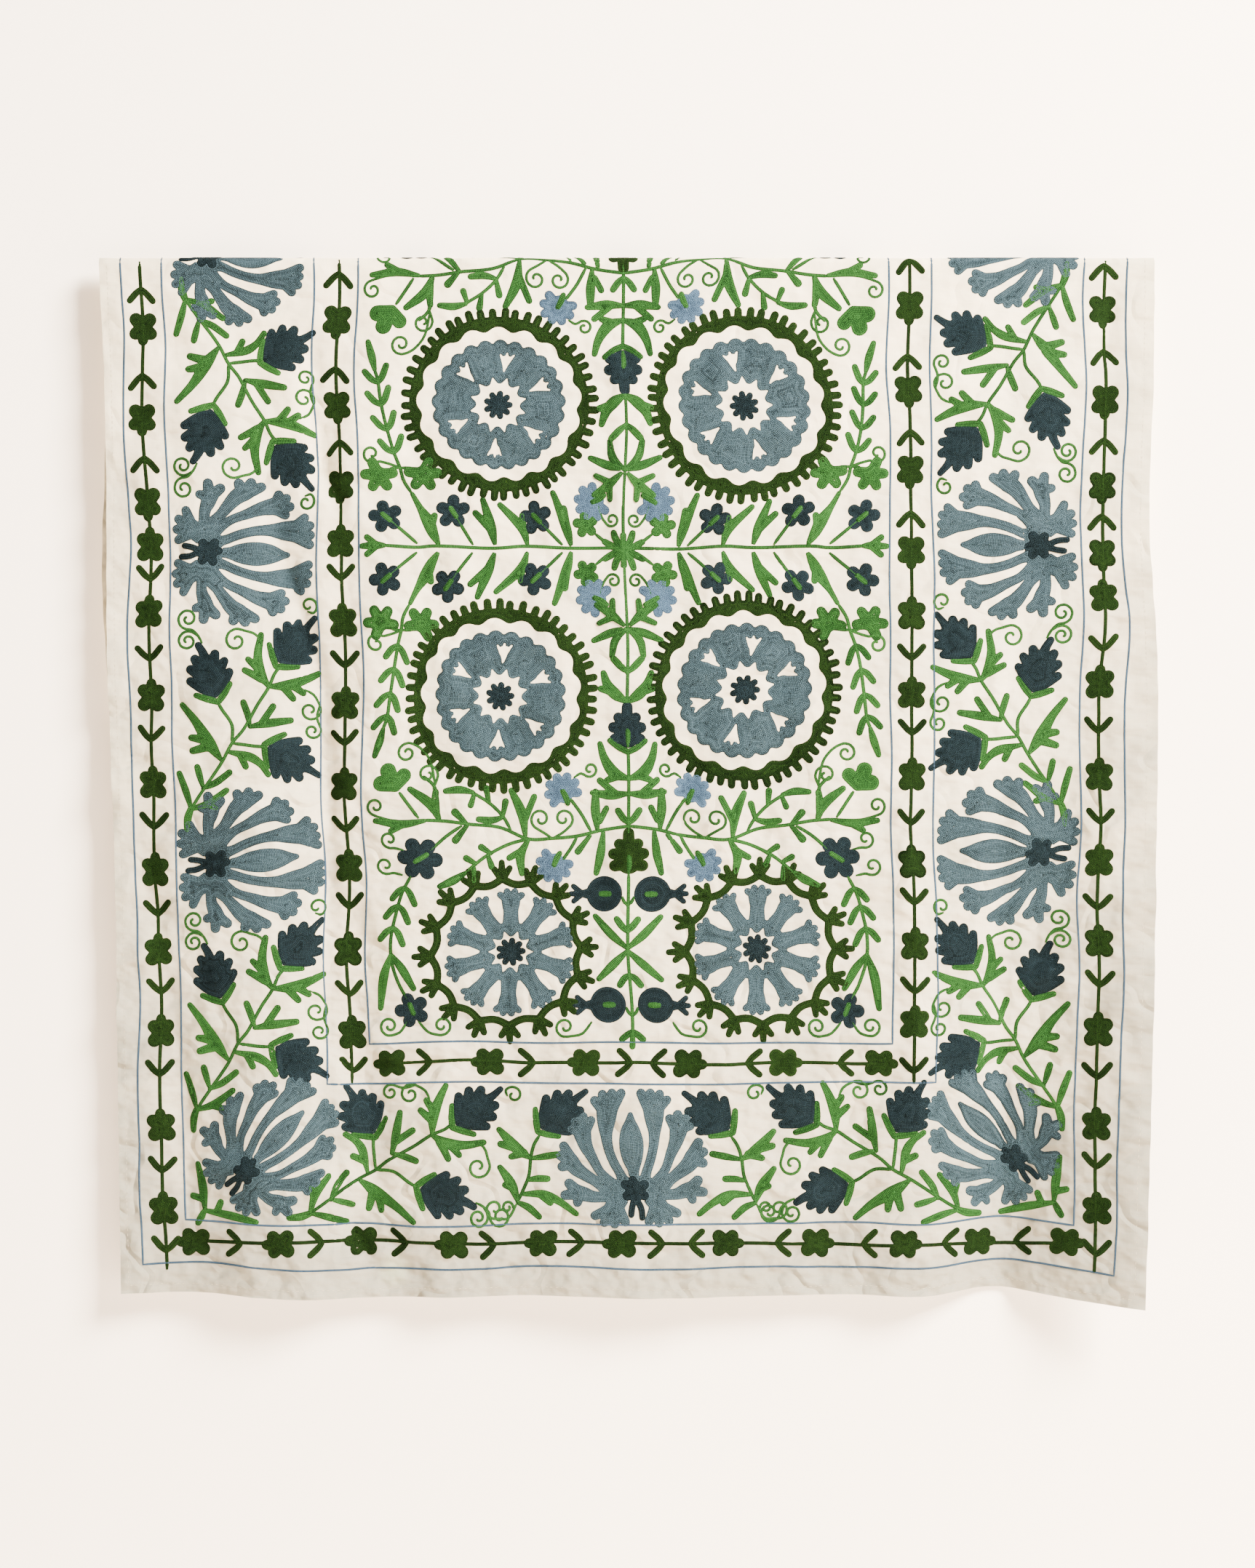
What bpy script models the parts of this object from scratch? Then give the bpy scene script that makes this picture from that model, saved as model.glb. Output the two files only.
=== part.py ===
"""Suzani hanging: one hemmed cotton cloth, folded over at the top and hanging down in front and behind.

Metres, +Z up. The face of the cloth looks along -Y. The origin is the middle of the fold, on the
inside of the cloth. The embroidery lies flat on this cloth, under 2 mm high.
"""

import math

import bmesh
import bpy
from mathutils import Vector

# The cloth as it was cut and hemmed, and how it is folded
CLOTH_WIDTH = 1.800
FRONT_DROP = 1.780
BACK_DROP = 0.790
FOLD_RADIUS = 0.012
FIELD_THICKNESS = 0.0015
HEM_THICKNESS = 0.0024
HEM_WIDTH = 0.016

# How finely the solid follows the folds
COLUMN_SPACING = 0.040
ROW_SPACING = 0.085
FOLD_SEGMENTS = 8

HALF_WIDTH = CLOTH_WIDTH / 2
BEND_RADIUS = FOLD_RADIUS + HEM_THICKNESS / 2
BEND_LENGTH = BEND_RADIUS * math.pi / 2
FREE_FROM = 0.04
FREE_BY = 0.45
RISE_FROM = 1.30
RISE_BY = 1.68

# Where the side edges hang: drop below the fold, left edge, right edge
FRONT_EDGES = (
    (0.00, -0.901, 0.899),
    (0.24, -0.890, 0.896),
    (0.45, -0.887, 0.888),
    (0.70, -0.886, 0.901),
    (1.05, -0.873, 0.897),
    (1.36, -0.869, 0.889),
    (1.80, -0.862, 0.872),
)
BACK_EDGES = (
    (0.00, -0.901, 0.899),
    (0.30, -0.893, 0.893),
    (0.55, -0.899, 0.884),
    (0.80, -0.884, 0.880),
)

# Long soft folds. Positive depths stand out from the cloth, negative ones fall back.
# name, head across, head drop, foot across, foot drop, half width, depth at head, depth at foot
FRONT_FOLDS = (
    ("left edge trough", -0.84, 0.50, -0.79, 1.78, 0.070, -0.003, -0.010),
    ("left ridge", -0.73, 0.30, -0.61, 1.78, 0.095, 0.008, 0.031),
    ("left long trough", -0.63, 0.25, -0.42, 1.78, 0.050, -0.008, -0.017),
    ("upper left crease", -0.535, 0.08, -0.47, 0.80, 0.026, -0.006, -0.003),
    ("inner left ridge", -0.49, 0.12, -0.30, 1.78, 0.060, 0.005, 0.006),
    ("middle ridge", 0.00, 0.85, 0.03, 1.78, 0.150, 0.000, 0.024),
    ("inner right trough", 0.30, 0.85, 0.37, 1.78, 0.080, 0.000, -0.010),
    ("right ridge", 0.47, 0.60, 0.50, 1.78, 0.070, 0.002, 0.014),
    ("right trough", 0.74, 0.60, 0.645, 1.78, 0.080, -0.004, -0.046),
    ("right corner flare", 0.90, 0.30, 0.90, 1.78, 0.110, 0.008, 0.064),
)
BACK_FOLDS = (
    ("back left ridge", -0.60, 0.10, -0.66, 0.80, 0.120, 0.002, 0.012),
    ("back middle ridge", -0.05, 0.10, 0.04, 0.80, 0.160, 0.001, 0.009),
    ("back right ridge", 0.62, 0.10, 0.70, 0.80, 0.110, 0.002, 0.014),
)

# How far the front hem is drawn up or let down: place across, rise
HEM_RISE = (
    (-0.90, 0.006),
    (-0.76, 0.008),
    (-0.61, 0.000),
    (-0.40, -0.001),
    (-0.18, 0.004),
    (0.04, 0.001),
    (0.40, 0.004),
    (0.52, 0.002),
    (0.65, 0.012),
    (0.78, -0.001),
    (0.90, -0.012),
)

COTTON_CREAM = (0.80, 0.75, 0.67, 1.0)


def smooth_step(start, end, at):
    """0 before start, 1 after end, and an easy slope between."""
    share = min(1.0, max(0.0, (at - start) / (end - start)))
    return share * share * (3 - 2 * share)


def along_table(rows, at, column):
    """A smooth curve through one column of a table whose first column rises."""
    knots = [row[0] for row in rows]
    values = [row[column] for row in rows]
    at = min(max(at, knots[0]), knots[-1])
    right = next(i for i in range(1, len(knots)) if at <= knots[i])
    left = right - 1

    def slope(i):
        before, after = max(i - 1, 0), min(i + 1, len(knots) - 1)
        return (values[after] - values[before]) / (knots[after] - knots[before])

    span = knots[right] - knots[left]
    t = (at - knots[left]) / span
    return (
        values[left] * (1 + 2 * t) * (1 - t) ** 2
        + slope(left) * span * t * (1 - t) ** 2
        + values[right] * t * t * (3 - 2 * t)
        + slope(right) * span * t * t * (t - 1)
    )


def fold_depth(folds, across, drop):
    """How far the folds lift the cloth out at one place."""
    total = 0.0
    for _name, head_u, head_v, foot_u, foot_v, half_width, head_depth, foot_depth in folds:
        share = min(1.0, max(0.0, (drop - head_v) / (foot_v - head_v)))
        centre = head_u + (foot_u - head_u) * share
        depth = head_depth + (foot_depth - head_depth) * share**1.4
        fade_in = smooth_step(head_v - 0.25, head_v + 0.15, drop)
        total += depth * fade_in * math.exp(-(((across - centre) / half_width) ** 2))
    return total * smooth_step(FREE_FROM, FREE_BY, drop)


def cloth_point(across, along):
    """A point of the cloth's middle surface. along is 0 on the fold, positive in front, negative behind."""
    drop = abs(along)
    facing = -1.0 if along > 0 else 1.0
    edges = FRONT_EDGES if along > 0 else BACK_EDGES
    share = (across + HALF_WIDTH) / CLOTH_WIDTH
    left, right = along_table(edges, drop, 1), along_table(edges, drop, 2)
    x = left + (right - left) * share
    if drop < BEND_LENGTH:
        turn = drop / BEND_RADIUS
        return Vector((x, facing * BEND_RADIUS * math.sin(turn), BEND_RADIUS * math.cos(turn) - FOLD_RADIUS))
    depth = fold_depth(FRONT_FOLDS if along > 0 else BACK_FOLDS, across, drop)
    z = -FOLD_RADIUS - (drop - BEND_LENGTH)
    if along > 0:
        z += along_table(HEM_RISE, across, 1) * smooth_step(RISE_FROM, RISE_BY, drop)
    return Vector((x, facing * (BEND_RADIUS + depth), z))


def even_stops(start, end, spacing):
    """Evenly spaced stops from start to end, both included."""
    count = max(1, round((end - start) / spacing))
    return [start + (end - start) * i / count for i in range(count + 1)]


def column_stops():
    """Places across the cloth, with a column at the inner edge of each side hem."""
    inner = HALF_WIDTH - HEM_WIDTH
    return [-HALF_WIDTH, *even_stops(-inner, inner, COLUMN_SPACING), HALF_WIDTH]


def row_stops():
    """Places along the cloth from the back hem over the fold to the front hem."""
    back = even_stops(-BACK_DROP + HEM_WIDTH, -BEND_LENGTH, ROW_SPACING)
    bend = even_stops(-BEND_LENGTH, BEND_LENGTH, 2 * BEND_LENGTH / FOLD_SEGMENTS)
    front = even_stops(BEND_LENGTH, FRONT_DROP - HEM_WIDTH, ROW_SPACING)
    return [-BACK_DROP, *back, *bend[1:-1], *front, FRONT_DROP]


def cotton_material():
    """Undyed plain-woven cotton, matt."""
    material = bpy.data.materials.new("undyed_cotton")
    material.use_nodes = True
    shader = material.node_tree.nodes["Principled BSDF"]
    shader.inputs["Base Color"].default_value = COTTON_CREAM
    shader.inputs["Roughness"].default_value = 0.92
    shader.inputs["Metallic"].default_value = 0.0
    return material


def make_cloth():
    """The hung cloth: its middle surface as a grid of quads, thickened, and thicker along the hems."""
    columns, rows = column_stops(), row_stops()
    shape = bmesh.new()
    grid = [[shape.verts.new(cloth_point(u, v)) for u in columns] for v in rows]
    for lower, upper in zip(grid, grid[1:]):
        for i in range(len(columns) - 1):
            shape.faces.new((lower[i], upper[i], upper[i + 1], lower[i + 1]))
    bmesh.ops.recalc_face_normals(shape, faces=shape.faces)
    mesh = bpy.data.meshes.new("ground_cloth")
    shape.to_mesh(mesh)
    shape.free()
    mesh.materials.append(cotton_material())
    cloth = bpy.data.objects.new("ground_cloth", mesh)
    bpy.context.scene.collection.objects.link(cloth)

    hem = cloth.vertex_groups.new(name="hem")
    per_row = len(columns)
    in_hem = [
        row * per_row + column
        for row in range(len(rows))
        for column in range(per_row)
        if row in (0, 1, len(rows) - 2, len(rows) - 1) or column in (0, 1, per_row - 2, per_row - 1)
    ]
    hem.add(in_hem, 1.0, "REPLACE")
    thicken = cloth.modifiers.new("cloth_thickness", "SOLIDIFY")
    thicken.thickness = HEM_THICKNESS
    thicken.offset = 0.0
    thicken.use_even_offset = True
    thicken.vertex_group = hem.name
    thicken.thickness_vertex_group = FIELD_THICKNESS / HEM_THICKNESS
    mesh.shade_smooth()
    mesh.set_sharp_from_angle(angle=math.radians(40))
    return cloth


def main():
    for thing in list(bpy.data.objects):
        bpy.data.objects.remove(thing)
    make_cloth()


main()
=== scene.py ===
"""Dresses the suzani hanging: cotton on its solid's folds, its chain-stitched pattern, and a plain studio."""

import math

import bpy
import numpy as np
from bpy.props import FloatProperty, FloatVectorProperty, PointerProperty
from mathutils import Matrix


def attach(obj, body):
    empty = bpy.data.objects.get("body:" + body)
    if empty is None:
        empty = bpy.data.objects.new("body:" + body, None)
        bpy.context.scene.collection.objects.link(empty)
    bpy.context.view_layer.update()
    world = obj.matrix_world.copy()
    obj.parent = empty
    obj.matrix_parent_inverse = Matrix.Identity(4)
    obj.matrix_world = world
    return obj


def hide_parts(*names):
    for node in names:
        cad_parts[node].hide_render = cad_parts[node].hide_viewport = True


bl_info = {
    "name": "Suzani hanging",
    "version": (1, 0, 0),
    "blender": (4, 5, 0),
    "location": "View3D > Sidebar > Suzani",
    "description": "Builds an embroidered cotton hanging on its folded solid",
    "category": "Object",
}

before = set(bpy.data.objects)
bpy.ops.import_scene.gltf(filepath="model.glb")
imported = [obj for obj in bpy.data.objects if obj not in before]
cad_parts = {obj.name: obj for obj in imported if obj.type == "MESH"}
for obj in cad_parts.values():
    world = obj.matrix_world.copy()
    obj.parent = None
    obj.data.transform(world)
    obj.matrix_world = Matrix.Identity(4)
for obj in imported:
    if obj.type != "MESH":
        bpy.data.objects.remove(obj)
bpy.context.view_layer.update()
MM = 0.001

# The cloth's own sizes, as in the solid
CLOTH_WIDTH = 1.800
HALF_WIDTH = CLOTH_WIDTH / 2
FRONT_DROP = 1.780
BACK_DROP = 0.790
FOLD_RADIUS = 0.012
FIELD_THICKNESS = 0.0015
HEM_THICKNESS = 0.0024
HEM_WIDTH = 0.016
BEND_RADIUS = FOLD_RADIUS + HEM_THICKNESS / 2
BEND_LENGTH = BEND_RADIUS * math.pi / 2
FREE_FROM, FREE_BY = 0.04, 0.45
RISE_FROM, RISE_BY = 1.30, 1.68
# The middle of the pattern: its place down the flat cloth, and the drop in millimetres where it hangs
CENTRE_DROP = 0.501
HUNG_CENTRE = 494.5
# What lies within this of the fold's own image, in millimetres, isn't repeated behind
FOLD_MARGIN = 45

# How deep the creases and crumples, the pucker and the waves of the side hems are made
CREASE_DEPTH, PUCKER_DEPTH, HEM_WAVE = 2.4, 0.0048, 0.0024
# How far the drawing wanders, for each metre of a wave's size
DRIFT = 0.0022
# How soon the side edges' own bends die out, across the cloth
EDGE_FADE = 0.08
# Points of the grid between the side hems, and down behind, over the fold and in front
ACROSS_POINTS, BACK_POINTS, FOLD_POINTS, FRONT_POINTS = 164, 73, 11, 166
# The hem's hand stitches: how far in from the edge, from one to the next, half width, and height
SEAM_INSET, SEAM_PITCH, SEAM_WIDTH, SEAM_HEIGHT = 0.0145, 0.0088, 0.0004, 0.00135
# The drop of the pattern's foot, in metres and millimetres
PATTERN_FOOT, BORDER_FOOT = 1.73, 1730

# Where the lines of the pattern hang: place across the flat cloth, place across at the fold, and at the hem
HANG_PLACES = (
    (-0.900, -0.901, -0.862),
    (-0.859, -0.864, -0.826),
    (-0.787, -0.793, -0.752),
    (-0.527, -0.537, -0.508),
    (-0.454, -0.464, -0.436),
    (0.000, -0.008, 0.010),
    (0.454, 0.444, 0.456),
    (0.527, 0.517, 0.530),
    (0.787, 0.782, 0.757),
    (0.859, 0.854, 0.822),
    (0.900, 0.899, 0.872),
)
# Where the side edges hang: drop below the fold, left edge, right edge
FRONT_EDGES = (
    (0.00, -0.901, 0.899),
    (0.24, -0.890, 0.896),
    (0.45, -0.887, 0.888),
    (0.70, -0.886, 0.901),
    (1.05, -0.873, 0.897),
    (1.36, -0.869, 0.889),
    (1.80, -0.862, 0.872),
)
BACK_EDGES = (
    (0.00, -0.901, 0.899),
    (0.30, -0.893, 0.893),
    (0.55, -0.899, 0.884),
    (0.80, -0.884, 0.880),
)
# name, head across, head drop, foot across, foot drop, half width, depth at head, depth at foot
FRONT_FOLDS = (
    ("left edge trough", -0.84, 0.50, -0.79, 1.78, 0.070, -0.003, -0.010),
    ("left ridge", -0.73, 0.30, -0.61, 1.78, 0.095, 0.008, 0.031),
    ("left long trough", -0.63, 0.25, -0.42, 1.78, 0.050, -0.008, -0.017),
    ("upper left crease", -0.535, 0.08, -0.47, 0.80, 0.026, -0.006, -0.003),
    ("inner left ridge", -0.49, 0.12, -0.30, 1.78, 0.060, 0.005, 0.006),
    ("middle ridge", 0.00, 0.85, 0.03, 1.78, 0.150, 0.000, 0.024),
    ("inner right trough", 0.30, 0.85, 0.37, 1.78, 0.080, 0.000, -0.010),
    ("right ridge", 0.47, 0.60, 0.50, 1.78, 0.070, 0.002, 0.014),
    ("right trough", 0.74, 0.60, 0.645, 1.78, 0.080, -0.004, -0.046),
    ("right corner flare", 0.90, 0.30, 0.90, 1.78, 0.110, 0.008, 0.064),
)
BACK_FOLDS = (
    ("back left ridge", -0.60, 0.10, -0.66, 0.80, 0.120, 0.002, 0.012),
    ("back middle ridge", -0.05, 0.10, 0.04, 0.80, 0.160, 0.001, 0.009),
    ("back right ridge", 0.62, 0.10, 0.70, 0.80, 0.110, 0.002, 0.014),
)
# place across, rise of the front hem
HEM_RISE = (
    (-0.90, 0.006),
    (-0.76, 0.008),
    (-0.61, 0.000),
    (-0.40, -0.001),
    (-0.18, 0.004),
    (0.04, 0.001),
    (0.40, 0.004),
    (0.52, 0.002),
    (0.65, 0.012),
    (0.78, -0.001),
    (0.90, -0.012),
)


# Plain helpers


def ease(start, end, at):
    """0 before start, 1 after end, and an easy slope between."""
    share = np.clip((at - start) / (end - start), 0.0, 1.0)
    return share * share * (3 - 2 * share)


def along_table(rows, at, column):
    """A smooth curve through one column of a table whose first column rises."""
    knots = np.array([row[0] for row in rows])
    values = np.array([row[column] for row in rows])
    slopes = np.empty_like(values)
    slopes[1:-1] = (values[2:] - values[:-2]) / (knots[2:] - knots[:-2])
    slopes[0] = (values[1] - values[0]) / (knots[1] - knots[0])
    slopes[-1] = (values[-1] - values[-2]) / (knots[-1] - knots[-2])
    at = np.clip(at, knots[0], knots[-1])
    left = np.clip(np.searchsorted(knots, at) - 1, 0, len(knots) - 2)
    span = knots[left + 1] - knots[left]
    t = (at - knots[left]) / span
    return (
        values[left] * (1 + 2 * t) * (1 - t) ** 2
        + slopes[left] * span * t * (1 - t) ** 2
        + values[left + 1] * t * t * (3 - 2 * t)
        + slopes[left + 1] * span * t * t * (t - 1)
    )


def smooth_curve(points, step):
    """A curve through the points, with a point about every step. Columns past the second follow along."""
    p = np.asarray(points, float)
    if len(p) < 2:
        return p
    ends = np.vstack([2 * p[0] - p[1], p, 2 * p[-1] - p[-2]])
    pieces = []
    for a, b, c, d in zip(ends, ends[1:], ends[2:], ends[3:]):
        count = max(1, int(np.hypot(*(c - b)[:2]) / step + 0.5))
        t = np.linspace(0, 1, count, endpoint=False)[:, None]
        pieces.append(
            0.5 * (2 * b + (c - a) * t + (2 * a - 5 * b + 4 * c - d) * t**2 + (3 * b - a - 3 * c + d) * t**3)
        )
    return np.vstack([*pieces, p[-1:]])


def run_of(points):
    """The length run at each point of a line."""
    return np.concatenate([[0.0], np.cumsum(np.hypot(*np.diff(points[:, :2], axis=0).T))])


# Filling a motif with rows of stitches, in millimetres on its own chart, +Y towards its tip

ROW_INSET = 2.8
ROW_SPACING = 2.8
SHORTEST_ROW = 2.5
CELL = 1.0
BATCH = 4000
# A row gets a point for each bend of so many radians or each run of so many millimetres
TURN_STEP, RUN_STEP = 0.6, 8.0
# Widths of rows, as shares of the row width in the settings
FILL_WIDTH, LINE_WIDTH, CURL_WIDTH, RULED_WIDTH = 1.0, 0.98, 0.76, 0.56


def capsules(strokes):
    """Each stroke is (x, y, half width) points. Gives the straight rounded pieces they are made of."""
    pieces = []
    for stroke in strokes:
        curve = smooth_curve(stroke, 4.0)
        if len(curve) == 1:
            curve = np.vstack([curve, curve + (0.01, 0, 0)])
        pieces.append(np.hstack([curve[:-1], curve[1:]]))
    return np.vstack(pieces)


def outside_of(strokes, x, y):
    """The distance outside the strokes, negative inside."""
    best = np.full(x.shape, 1e6)
    for ax, ay, ar, bx, by, br in capsules(strokes):
        dx, dy = bx - ax, by - ay
        t = np.clip(((x - ax) * dx + (y - ay) * dy) / (dx * dx + dy * dy), 0, 1)
        best = np.minimum(best, np.hypot(x - ax - t * dx, y - ay - t * dy) - ar - t * (br - ar))
    return best


# The sides by which lines enter and leave a square, for each pattern of its corners
SQUARE_CASES = {
    1: ((3, 0),), 2: ((0, 1),), 3: ((3, 1),), 4: ((1, 2),), 5: ((3, 2), (1, 0)),
    6: ((0, 2),), 7: ((3, 2),), 8: ((2, 3),), 9: ((2, 0),), 10: ((0, 3), (2, 1)),
    11: ((2, 1),), 12: ((1, 3),), 13: ((1, 0),), 14: ((0, 3),),
}


def level_loops(field, level, low, cell):
    """The closed lines on which a field over a grid has one value."""
    above = field > level
    code = above[:-1, :-1] + 2 * above[:-1, 1:] + 4 * above[1:, 1:] + 8 * above[1:, :-1]
    after = {}
    for i, j in np.argwhere((code > 0) & (code < 15)).tolist():
        sides = ((0, i, j), (1, i, j + 1), (0, i + 1, j), (1, i, j))
        for start, end in SQUARE_CASES[int(code[i, j])]:
            after[sides[start]] = sides[end]

    def place(side):
        upright, i, j = side
        k, m = (i + 1, j) if upright else (i, j + 1)
        share = (level - field[i, j]) / (field[k, m] - field[i, j])
        return low[0] + cell * (j + share * (m - j)), low[1] + cell * (i + share * (k - i))

    loops = []
    while after:
        first, at = after.popitem()
        loop = [place(first)]
        while at != first:
            loop.append(place(at))
            at = after.pop(at)
        loops.append(np.array(loop))
    return loops


def thinned(points, closed):
    """The line smoothed a little, with points only as close as its bends need."""
    p = points
    for _ in range(2):
        if closed:
            p = (np.roll(p, 1, axis=0) + 2 * p + np.roll(p, -1, axis=0)) / 4
        elif len(p) > 2:
            p = np.vstack([p[:1], (p[:-2] + 2 * p[1:-1] + p[2:]) / 4, p[-1:]])
    if closed:
        p = np.vstack([p, p[:1]])
    step = np.diff(p, axis=0)
    heading = np.unwrap(np.arctan2(step[:, 1], step[:, 0]))
    turn = np.concatenate([[0.0], np.abs(np.diff(heading)), [0.0]])
    worth = np.cumsum(turn / TURN_STEP) + run_of(p) / RUN_STEP
    keep = np.concatenate([[True], np.diff(np.floor(worth)) > 0])
    keep[-1] = True
    if keep.sum() > 2 and worth[-1] - worth[np.flatnonzero(keep)[-2]] < 0.3:
        keep[np.flatnonzero(keep)[-2]] = False
    return p[keep]


def filled_rows(strokes, cuts, cell):
    """Rows of stitches that follow a shape's outline inwards until it is full."""
    reach = capsules(strokes)
    widest = reach[:, [2, 5]].max() + 2 * cell
    low = np.minimum(reach[:, :2].min(axis=0), reach[:, 3:5].min(axis=0)) - widest
    high = np.maximum(reach[:, :2].max(axis=0), reach[:, 3:5].max(axis=0)) + widest
    x, y = np.meshgrid(np.arange(low[0], high[0], cell), np.arange(low[1], high[1], cell))
    outside = outside_of(strokes, x, y)
    if cuts:
        outside = np.maximum(outside, -outside_of(cuts, x, y))
    edge = np.vstack(level_loops(-outside, 0.0, low, cell)).astype(np.float32)
    inside = outside < 0
    spots = np.column_stack([x[inside], y[inside]]).astype(np.float32)
    near = np.empty(len(spots), np.float32)
    for i in range(0, len(spots), BATCH):
        part = spots[i : i + BATCH]
        squares = (part[:, None, 0] - edge[:, 0]) ** 2 + (part[:, None, 1] - edge[:, 1]) ** 2
        near[i : i + BATCH] = squares.min(axis=1)
    depth = -np.abs(outside)
    depth[inside] = np.sqrt(near)
    rows = []
    level = ROW_INSET
    while level < depth.max():
        loops = level_loops(depth, level, low, cell)
        rows += [thinned(loop, True) for loop in loops if run_of(loop)[-1] > SHORTEST_ROW]
        level += ROW_SPACING
    return rows


class Motif:
    """Rows of stitches on a chart: thread, points in millimetres, lift by the stitches below, and width."""

    def __init__(self):
        self.rows = []

    def fill(self, thread, *strokes, cuts=(), lift=0.0, cell=CELL):
        self.rows += [(thread, row, lift, FILL_WIDTH) for row in filled_rows(strokes, cuts, cell)]
        return self

    def line(self, thread, *points, lift=0.0):
        curve = smooth_curve(points, 1.5)
        self.rows.append((thread, thinned(curve, False), lift, LINE_WIDTH))
        return self

    def curl(self, thread, path, centre, sense, turns=1.5):
        """A tendril that runs along a path and then winds in round centre. sense 1 winds anticlockwise."""
        path = smooth_curve(path, 3.0)
        dx, dy = path[-1, 0] - centre[0], path[-1, 1] - centre[1]
        t = np.linspace(0, 1, 44)[1:]
        radius = math.hypot(dx, dy) * (1 - t) ** 0.8 + 2.2 * t
        angle = math.atan2(dy, dx) + sense * turns * 2 * math.pi * t
        points = np.column_stack([centre[0] + radius * np.cos(angle), centre[1] + radius * np.sin(angle)])
        self.rows.append((thread, thinned(np.vstack([path, points]), False), 0.0, CURL_WIDTH))
        return self

    def add(self, other, at, heading=0.0, scale=1.0):
        """Puts another motif on this one. heading is degrees clockwise from up."""
        c, s = math.cos(math.radians(heading)), math.sin(math.radians(heading))
        return self.put(other, scale * np.array([[c, s], [-s, c]]), at)

    def put(self, other, turn, at):
        """Puts another motif on this one. turn says how its right and up lie."""
        turn = np.asarray(turn, float)
        self.rows += [(thread, row @ turn.T + at, lift, wide) for thread, row, lift, wide in other.rows]
        return self


# The motifs

GREEN, DARK, NAVY, SLATE, PALE = "leaf_green", "dark_green", "navy", "slate_blue", "pale_slate"
# Half width of a petal as a share of its flower's radius, by the number of petals
PETAL_WIDTHS = {5: 0.355, 6: 0.325}
BUD_TAILS = {
    "side": ((0, 60, 10), (-1, 82, 6.4), (0, 99, 5.2)),
    "middle": ((0, 60, 10), (0, 80, 7.4), (-4, 95, 6)),
}


def around(count, distance, half_width, start, sweep=360.0, inner=0.0, inner_width=None):
    """Strokes that point out from the middle, the first at start degrees clockwise from up."""
    strokes = []
    inner_width = inner_width or half_width * 0.8
    for i in range(count):
        a = math.radians(start + sweep * i / (count if sweep == 360.0 else count - 1))
        s, c = math.sin(a), math.cos(a)
        strokes.append(((inner * s, inner * c, inner_width), (distance * s, distance * c, half_width)))
    return strokes


def sided(strokes, side):
    """The strokes as charted for side 1, and their mirror images for side -1."""
    return [tuple((side * x, y, r) for x, y, r in stroke) for stroke in strokes]


def mirrored(*strokes):
    """The strokes and their mirror images."""
    return sided(strokes, 1) + sided(strokes, -1)


def turned(strokes, degrees):
    """The strokes turned clockwise about the chart's middle."""
    c, s = math.cos(math.radians(degrees)), math.sin(math.radians(degrees))
    return [tuple((x * c + y * s, y * c - x * s, r) for x, y, r in stroke) for stroke in strokes]


def widened(strokes, by):
    """The strokes with their half widths changed."""
    return [tuple((x, y, r + by) for x, y, r in stroke) for stroke in strokes]


def rosette():
    """Five blunt petals, the narrow one towards the tip."""
    petals = mirrored(((0, 0, 13), (13, 10.5, 10.5)), ((0, -2, 13), (11.5, -14, 11.5)))
    return Motif().fill(DARK, *petals, ((0, 6, 11), (0, 23, 8.3)))


def leaf_pair():
    """Two blunt leaves that open towards the tip from one point on the stem."""
    return Motif().fill(DARK, *mirrored(((0, -11, 4.2), (9, -3, 5.4), (20, 10, 5.2))))


def flower(thread, petals, radius, stripe=GREEN):
    """A round flower whose stem comes in from below, with a stripe in another thread over its middle."""
    width = radius * PETAL_WIDTHS[petals]
    lobes = around(petals, radius - width, width, 36.0, inner=3)
    made = Motif().fill(thread, ((0, 0, radius * 0.46),), *lobes)
    if stripe:
        made.fill(stripe, ((0, -radius * 0.36, 3.7), (0, radius * 0.26, 3.7)), lift=1.0)
    return made


def fan_flower():
    """A flower seen from the side: a fan of blunt lobes above its stem."""
    lobes = [tuple((x, y + 8, r) for x, y, r in s) for s in around(7, 25, 7.6, -118, 236, 4, 9)]
    made = Motif().fill(PALE, ((0, 2, 14),), ((0, 14, 17),), *lobes)
    return made.fill(GREEN, ((0, -14, 4.2), (1, -4, 5), (0, 9, 4)), lift=1.0)


def green_flower():
    """Five blunt lobes in a fan."""
    return Motif().fill(GREEN, ((0, 0, 12),), *around(5, 20, 8.0, -125, 250, 2, 9))


def trefoil():
    """Three round lobes."""
    lobes = ((0, -4, 7), (-15, 13, 12)), ((0, 0, 9), (4, 23, 12)), ((0, -2, 9), (19, 4, 11))
    return Motif().fill(GREEN, *lobes)


def bud(tail):
    """A tulip bud with a scalloped edge and a drawn-out tail, in a green calyx, its stem from below."""
    made = Motif().fill(
        NAVY,
        ((0, 5, 4.4), (0, 22, 15), (0, 42, 27), (0, 52, 24)),
        ((0, 6, 4.4), (17, 20, 8), (34, 36, 7.2)),
        ((0, 6, 4.4), (-17, 21, 8), (-34, 40, 7.2)),
        ((14, 42, 12), (31, 56, 7.2)),
        ((-12, 44, 12), (-28, 59, 7.8)),
        ((8, 52, 12), (19, 72, 7.8)),
        ((-8, 54, 12), (-16, 74, 7.8)),
        BUD_TAILS[tail],
    )
    calyx = (((1, -7, 5), (14, 3, 5.6), (29, 17, 4.8)), ((1, -7, 5), (-14, 2, 5.6), (-31, 14, 4.8)))
    return made.fill(GREEN, *calyx, lift=-0.15)


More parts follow.
